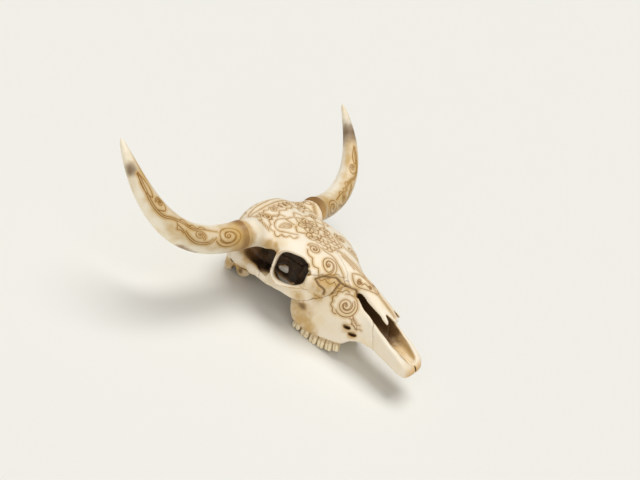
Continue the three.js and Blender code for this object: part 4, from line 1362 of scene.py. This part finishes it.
def horn_reach(points):
    """Millimetres from the root, for each of the fine steps along the curve."""
    steps = np.linalg.norm(np.diff(horn_middle(points, fine_t), axis=0), axis=1)
    return np.concatenate(((0,), np.cumsum(steps)))


def horn_front(name, t):
    along = horn_along(horn_points[name], t)
    front = FRONT[name] - along * (along @ FRONT[name])[:, None]
    return front / np.linalg.norm(front, axis=1, keepdims=True)


def wrapped(strip, name):
    """Strip points, along and round, on a horn's surface, with the right horn held as a left one."""
    points = horn_points[name]
    t = np.interp(strip[:, 0], horn_reach(points), fine_t)
    front = horn_front(name, t)
    side = np.cross(horn_along(points, t), front)
    radius = horn_radius(t)
    angle = strip[:, 1] / radius
    outwards = front * np.cos(angle)[:, None] + side * np.sin(angle)[:, None]
    return horn_middle(points, t) + radius[:, None] * outwards


def drawn_out(lines, centre, factor):
    """Lines about the origin, set at a place on the strip and drawn out along the horn."""
    return [line * (factor, 1) + centre for line in lines]


print("front of the left horn, 100 mm out:", wrapped(np.array([(100.0, 0.0)]), "left").round(1))

# %% Strip of the horns
upper_stem = stem((84, -12), (117, -13), (155, -7), (182, -8), (208, 0), (223, 9), (240, 12), (262, 10),
                  (287, 6), (312, 4))
lower_stem = stem((90, 2), (106, 14), (135, 20), (159, 15), (176, 7), (190, 4))
horn_strip = [
    upper_stem,
    beside(upper_stem, 3.5)[60:],
    scallops(upper_stem[30:110], 3, -6),
    lower_stem,
    beside(lower_stem, -4)[8:-20],
    scallops(stem((172, 12), (184, 14), (194, 8), (196, 0)), 2, -4),
    petal((262, 5), 0, 0, 52, 6),
    stem((240, 12), (228, 2), (232, -6), (246, -9)),
]
horn_strip += drawn_out(volute((0, 0), 24, 2.6, 0.4), (54, -2), 1.6)
horn_strip += drawn_out(volute((0, 0), 11, 1.8, 2.4), (133, 2), 1.5)
horn_strip += drawn_out(volute((0, 0), 8.5, 1.7, 1.0, -1), (247, -1), 1.3)
for name, points in horn_points.items():
    print(name, "horn is", round(horn_reach(points)[-1]), "mm long along its middle")

# %% Horn finish
HORN_IVORY = (0.91, 0.82, 0.65)
HORN_CREAM = (0.82, 0.68, 0.45)
ROOT_BROWN = (0.25, 0.115, 0.035)
BAND_BROWN = (0.17, 0.098, 0.045)
STRIP_GOLD = (0.58, 0.35, 0.09)
horn, tree, shader = new_finish("polished_horn", 0.3)
streaks = grain(tree, 30, 4)
uneven = reckon(tree, "MULTIPLY", reckon(tree, "SUBTRACT", streaks, 0.5), 0.8)
colour = over(tree, stretch(tree, streaks, 0.42, 0.75), HORN_IVORY, HORN_CREAM)
colour = stained(tree, colour, blotchy(tree, "strip", uneven), 0.3, 1.1, 0.45, STRIP_GOLD)
# under: painted shade on the underside of each horn, in the root's brown
colour = stained(tree, colour, blotchy(tree, "under", uneven), 0.2, 0.9, 0.8, ROOT_BROWN)
colour = stained(tree, colour, blotchy(tree, "ground", uneven), 0.1, 1, 0.8, STRIP_GOLD)
colour = stained(tree, colour, blotchy(tree, "band", uneven), 0.15, 0.95, 0.85, BAND_BROWN)
colour = stained(tree, colour, blotchy(tree, "root", uneven), 0.1, 1.1, 0.85, ROOT_BROWN)
colour = stained(tree, colour, reading(tree, "halo"), 0.6, 1, 0.62, GOLD)
colour = stained(tree, colour, line_stain(tree, streaks), 0.05, 0.75, 0.95, STAIN)
tree.links.new(colour, shader.inputs["Base Color"])
print("finish:", horn.name)

# %% [markdown]
# ## The two horns
# The horns share one curve but not one stain. The left one has a brown ring at its root and a dark band
# below its tip. The right one is paler: its ring is wider, the band is only a spot and its inner edge is
# golden. A small table keeps these differences, so one loop makes both.

# %% Stain of each horn
BAND_PLACE = 0.82
BAND_HALF = 52
STRIP_PLACE = 0.92
STRIP_FADE = 60
RING_FADE = 22
INNER = np.array((-0.72, -0.5, 0.48))
SPOT = np.array([[322.0, 15.0]])
SPOT_RADIUS = 24
# spots on the underside of each horn that are painted brown as shade
UNDER_SHADE = np.array([[122.0, 50.0], [132.0, 49.0], [142.0, 47.0], [152.0, 45.0]])
UNDER_SHADE_RADIUS = 20
HORN_STAIN = {
    "left": {"ring": 22, "wiped": 0.5, "richness": 0.45, "edge": 0.0},
    "right": {"ring": 32, "wiped": 0.2, "richness": 0.25, "edge": 1.1},
}


def near_spots(place, spots, name, radius):
    """1 at spots given on the strip, 0 from a radius away."""
    away = [np.linalg.norm(place - spot, axis=1) for spot in wrapped(spots, name)]
    return fade(np.min(away, axis=0), radius, 0)


def stain_horn(obj, name, place):
    """Keeps how much each vertex of a horn takes of root ring, band, strip, ground and painted underside
    shade.
    """
    points, stain = horn_points[name], HORN_STAIN[name]
    t = np.clip(np.arange(len(place)) // HORN_SIDES, 0, HORN_RINGS) / HORN_RINGS
    reach = np.interp(t, fine_t, horn_reach(points))
    length = horn_reach(points)[-1]
    out = (place - horn_middle(points, t)) / horn_radius(t)[:, None]
    facing = (out * horn_front(name, t)).sum(1)
    strip_end = STRIP_PLACE * length
    from_band = fade(np.abs(reach - BAND_PLACE * length), BAND_HALF, 0)
    on_strip = fade(facing, 0.1, 0.8) * fade(reach, strip_end, strip_end - STRIP_FADE)
    inner_edge = fade(out @ INNER, 0.45, 0.85) * from_band
    golden = np.maximum(fade(reach, 90, 20), stain["richness"] * on_strip)
    kept_ring = np.clip(0.95 - stain["wiped"] * facing, 0.4, 1)
    put_number(obj, "root", fade(reach, stain["ring"], stain["ring"] - RING_FADE) * kept_ring)
    put_number(obj, "ground", np.maximum(golden, stain["edge"] * inner_edge))
    put_number(obj, "band", from_band if name == "left" else near_spots(place, SPOT, name, SPOT_RADIUS))
    put_number(obj, "strip", np.maximum(on_strip, 0.9 * from_band))
    # painted shade under the horn
    put_number(obj, "under", near_spots(place, UNDER_SHADE, name, UNDER_SHADE_RADIUS))


print("the band is", 2 * BAND_HALF, "mm long with its soft ends")

# %% Make both horns
horn_sizes = {"Radius": HORN_RADIUS * MM, "Fall power": FALL_POWER, "Blunt power": BLUNT_POWER,
              "Tip radius": TIP_RADIUS * MM, "Collar rise": COLLAR_RISE * MM, "Collar length": COLLAR_LENGTH,
              "Rings": HORN_RINGS, "Sides": HORN_SIDES}
for side, name in ((1, "left"), (-1, "right")):
    obj = new_object("sheath_horn_" + name, [(0, 0, 0)], [], [])
    for label, spot in zip(("Root", "Pull out", "Pull up", "Tip"), at_rest(horn_points[name] * (side, 1, 1))):
        horn_sizes[label] = tuple(float(value) for value in spot)
    run_tree(obj, horn_tree, horn_sizes)
    stain_horn(obj, name, skull_frame(obj) * (side, 1, 1))
    scroll = line_object("horn_scroll_" + name, [wrapped(line, name) * (side, 1, 1) for line in horn_strip])
    run_tree(obj, engrave, {"Lines": scroll, "Finish": horn, **HORN_CUT})
    bpy.data.objects.remove(scroll)
    obj.data.shade_smooth()
    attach(obj, "root")
    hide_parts("horn_" + name)
    print(obj.name, len(obj.data.polygons), "faces")
bpy.data.objects.remove(bone_scroll)

# %% [markdown]
# ## Floor, light and camera
# The skull lies on a plain pale floor. Even light from all round keeps the floor bright to the edge of
# the picture. A broad sun-like lamp from above gives the soft shadow and the shape, and a weaker and still
# broader one from the camera's side opens the shadows on the cheek. The lens is long enough not to distort
# the horns.

# %% Floor and light
FLOOR_PALE = (0.81, 0.795, 0.74)
FLOOR_HALF = 40
WORLD_STRENGTH = 0.2
corners = [(a * FLOOR_HALF, b * FLOOR_HALF, 0) for a, b in ((-1, -1), (1, -1), (1, 1), (-1, 1))]
floor = new_object("floor", corners, [], [(0, 1, 2, 3)])
pale, tree, shader = new_finish("pale_floor", 0.9)
shader.inputs["Base Color"].default_value = (*FLOOR_PALE, 1)
shader.inputs["Specular IOR Level"].default_value = 0.0
floor.data.materials.append(pale)

world = bpy.data.worlds.new("studio")
world.use_nodes = True
background = world.node_tree.nodes["Background"].inputs
background["Color"].default_value = (1, 1, 1, 1)
background["Strength"].default_value = WORLD_STRENGTH
bpy.context.scene.world = world

LAMPS = {
    "high_lamp": ((0.12, 0.12, 0.97), 2.08, 40),
    "camera_side_lamp": ((-0.72, -0.35, 0.6), 1.2, 70),
}
for name, (towards, energy, spread) in LAMPS.items():
    lamp = bpy.data.lights.new(name, "SUN")
    lamp.energy = energy
    lamp.angle = math.radians(spread)
    lamp_object = bpy.data.objects.new(name, lamp)
    lamp_object.rotation_mode = "QUATERNION"
    lamp_object.rotation_quaternion = Vector(towards).to_track_quat("Z", "Y")
    bpy.context.scene.collection.objects.link(lamp_object)
    print("lamp:", name)

# %% Camera
SENSOR_WIDTH = 36.0
LENS = 48.5
CAMERA_PLACE = Vector(at_rest([(-1524.6, -445.8, 935.4)])[0])
RIGHT, UP = (Vector(row) for row in turned([(0.5365, -0.7957, 0.2811), (0.2088, 0.4479, 0.8694)]))
camera = bpy.data.cameras.new("camera")
camera.sensor_width = SENSOR_WIDTH
camera.lens = LENS
camera_object = bpy.data.objects.new("camera", camera)
turn = Matrix((RIGHT, UP, RIGHT.cross(UP))).transposed()
camera_object.rotation_mode = "QUATERNION"
camera_object.rotation_quaternion = turn.to_quaternion()
camera_object.location = CAMERA_PLACE
bpy.context.scene.collection.objects.link(camera_object)
bpy.context.scene.camera = camera_object
bpy.context.scene.view_settings.view_transform = "Standard"
print("camera at", tuple(round(value, 3) for value in CAMERA_PLACE))
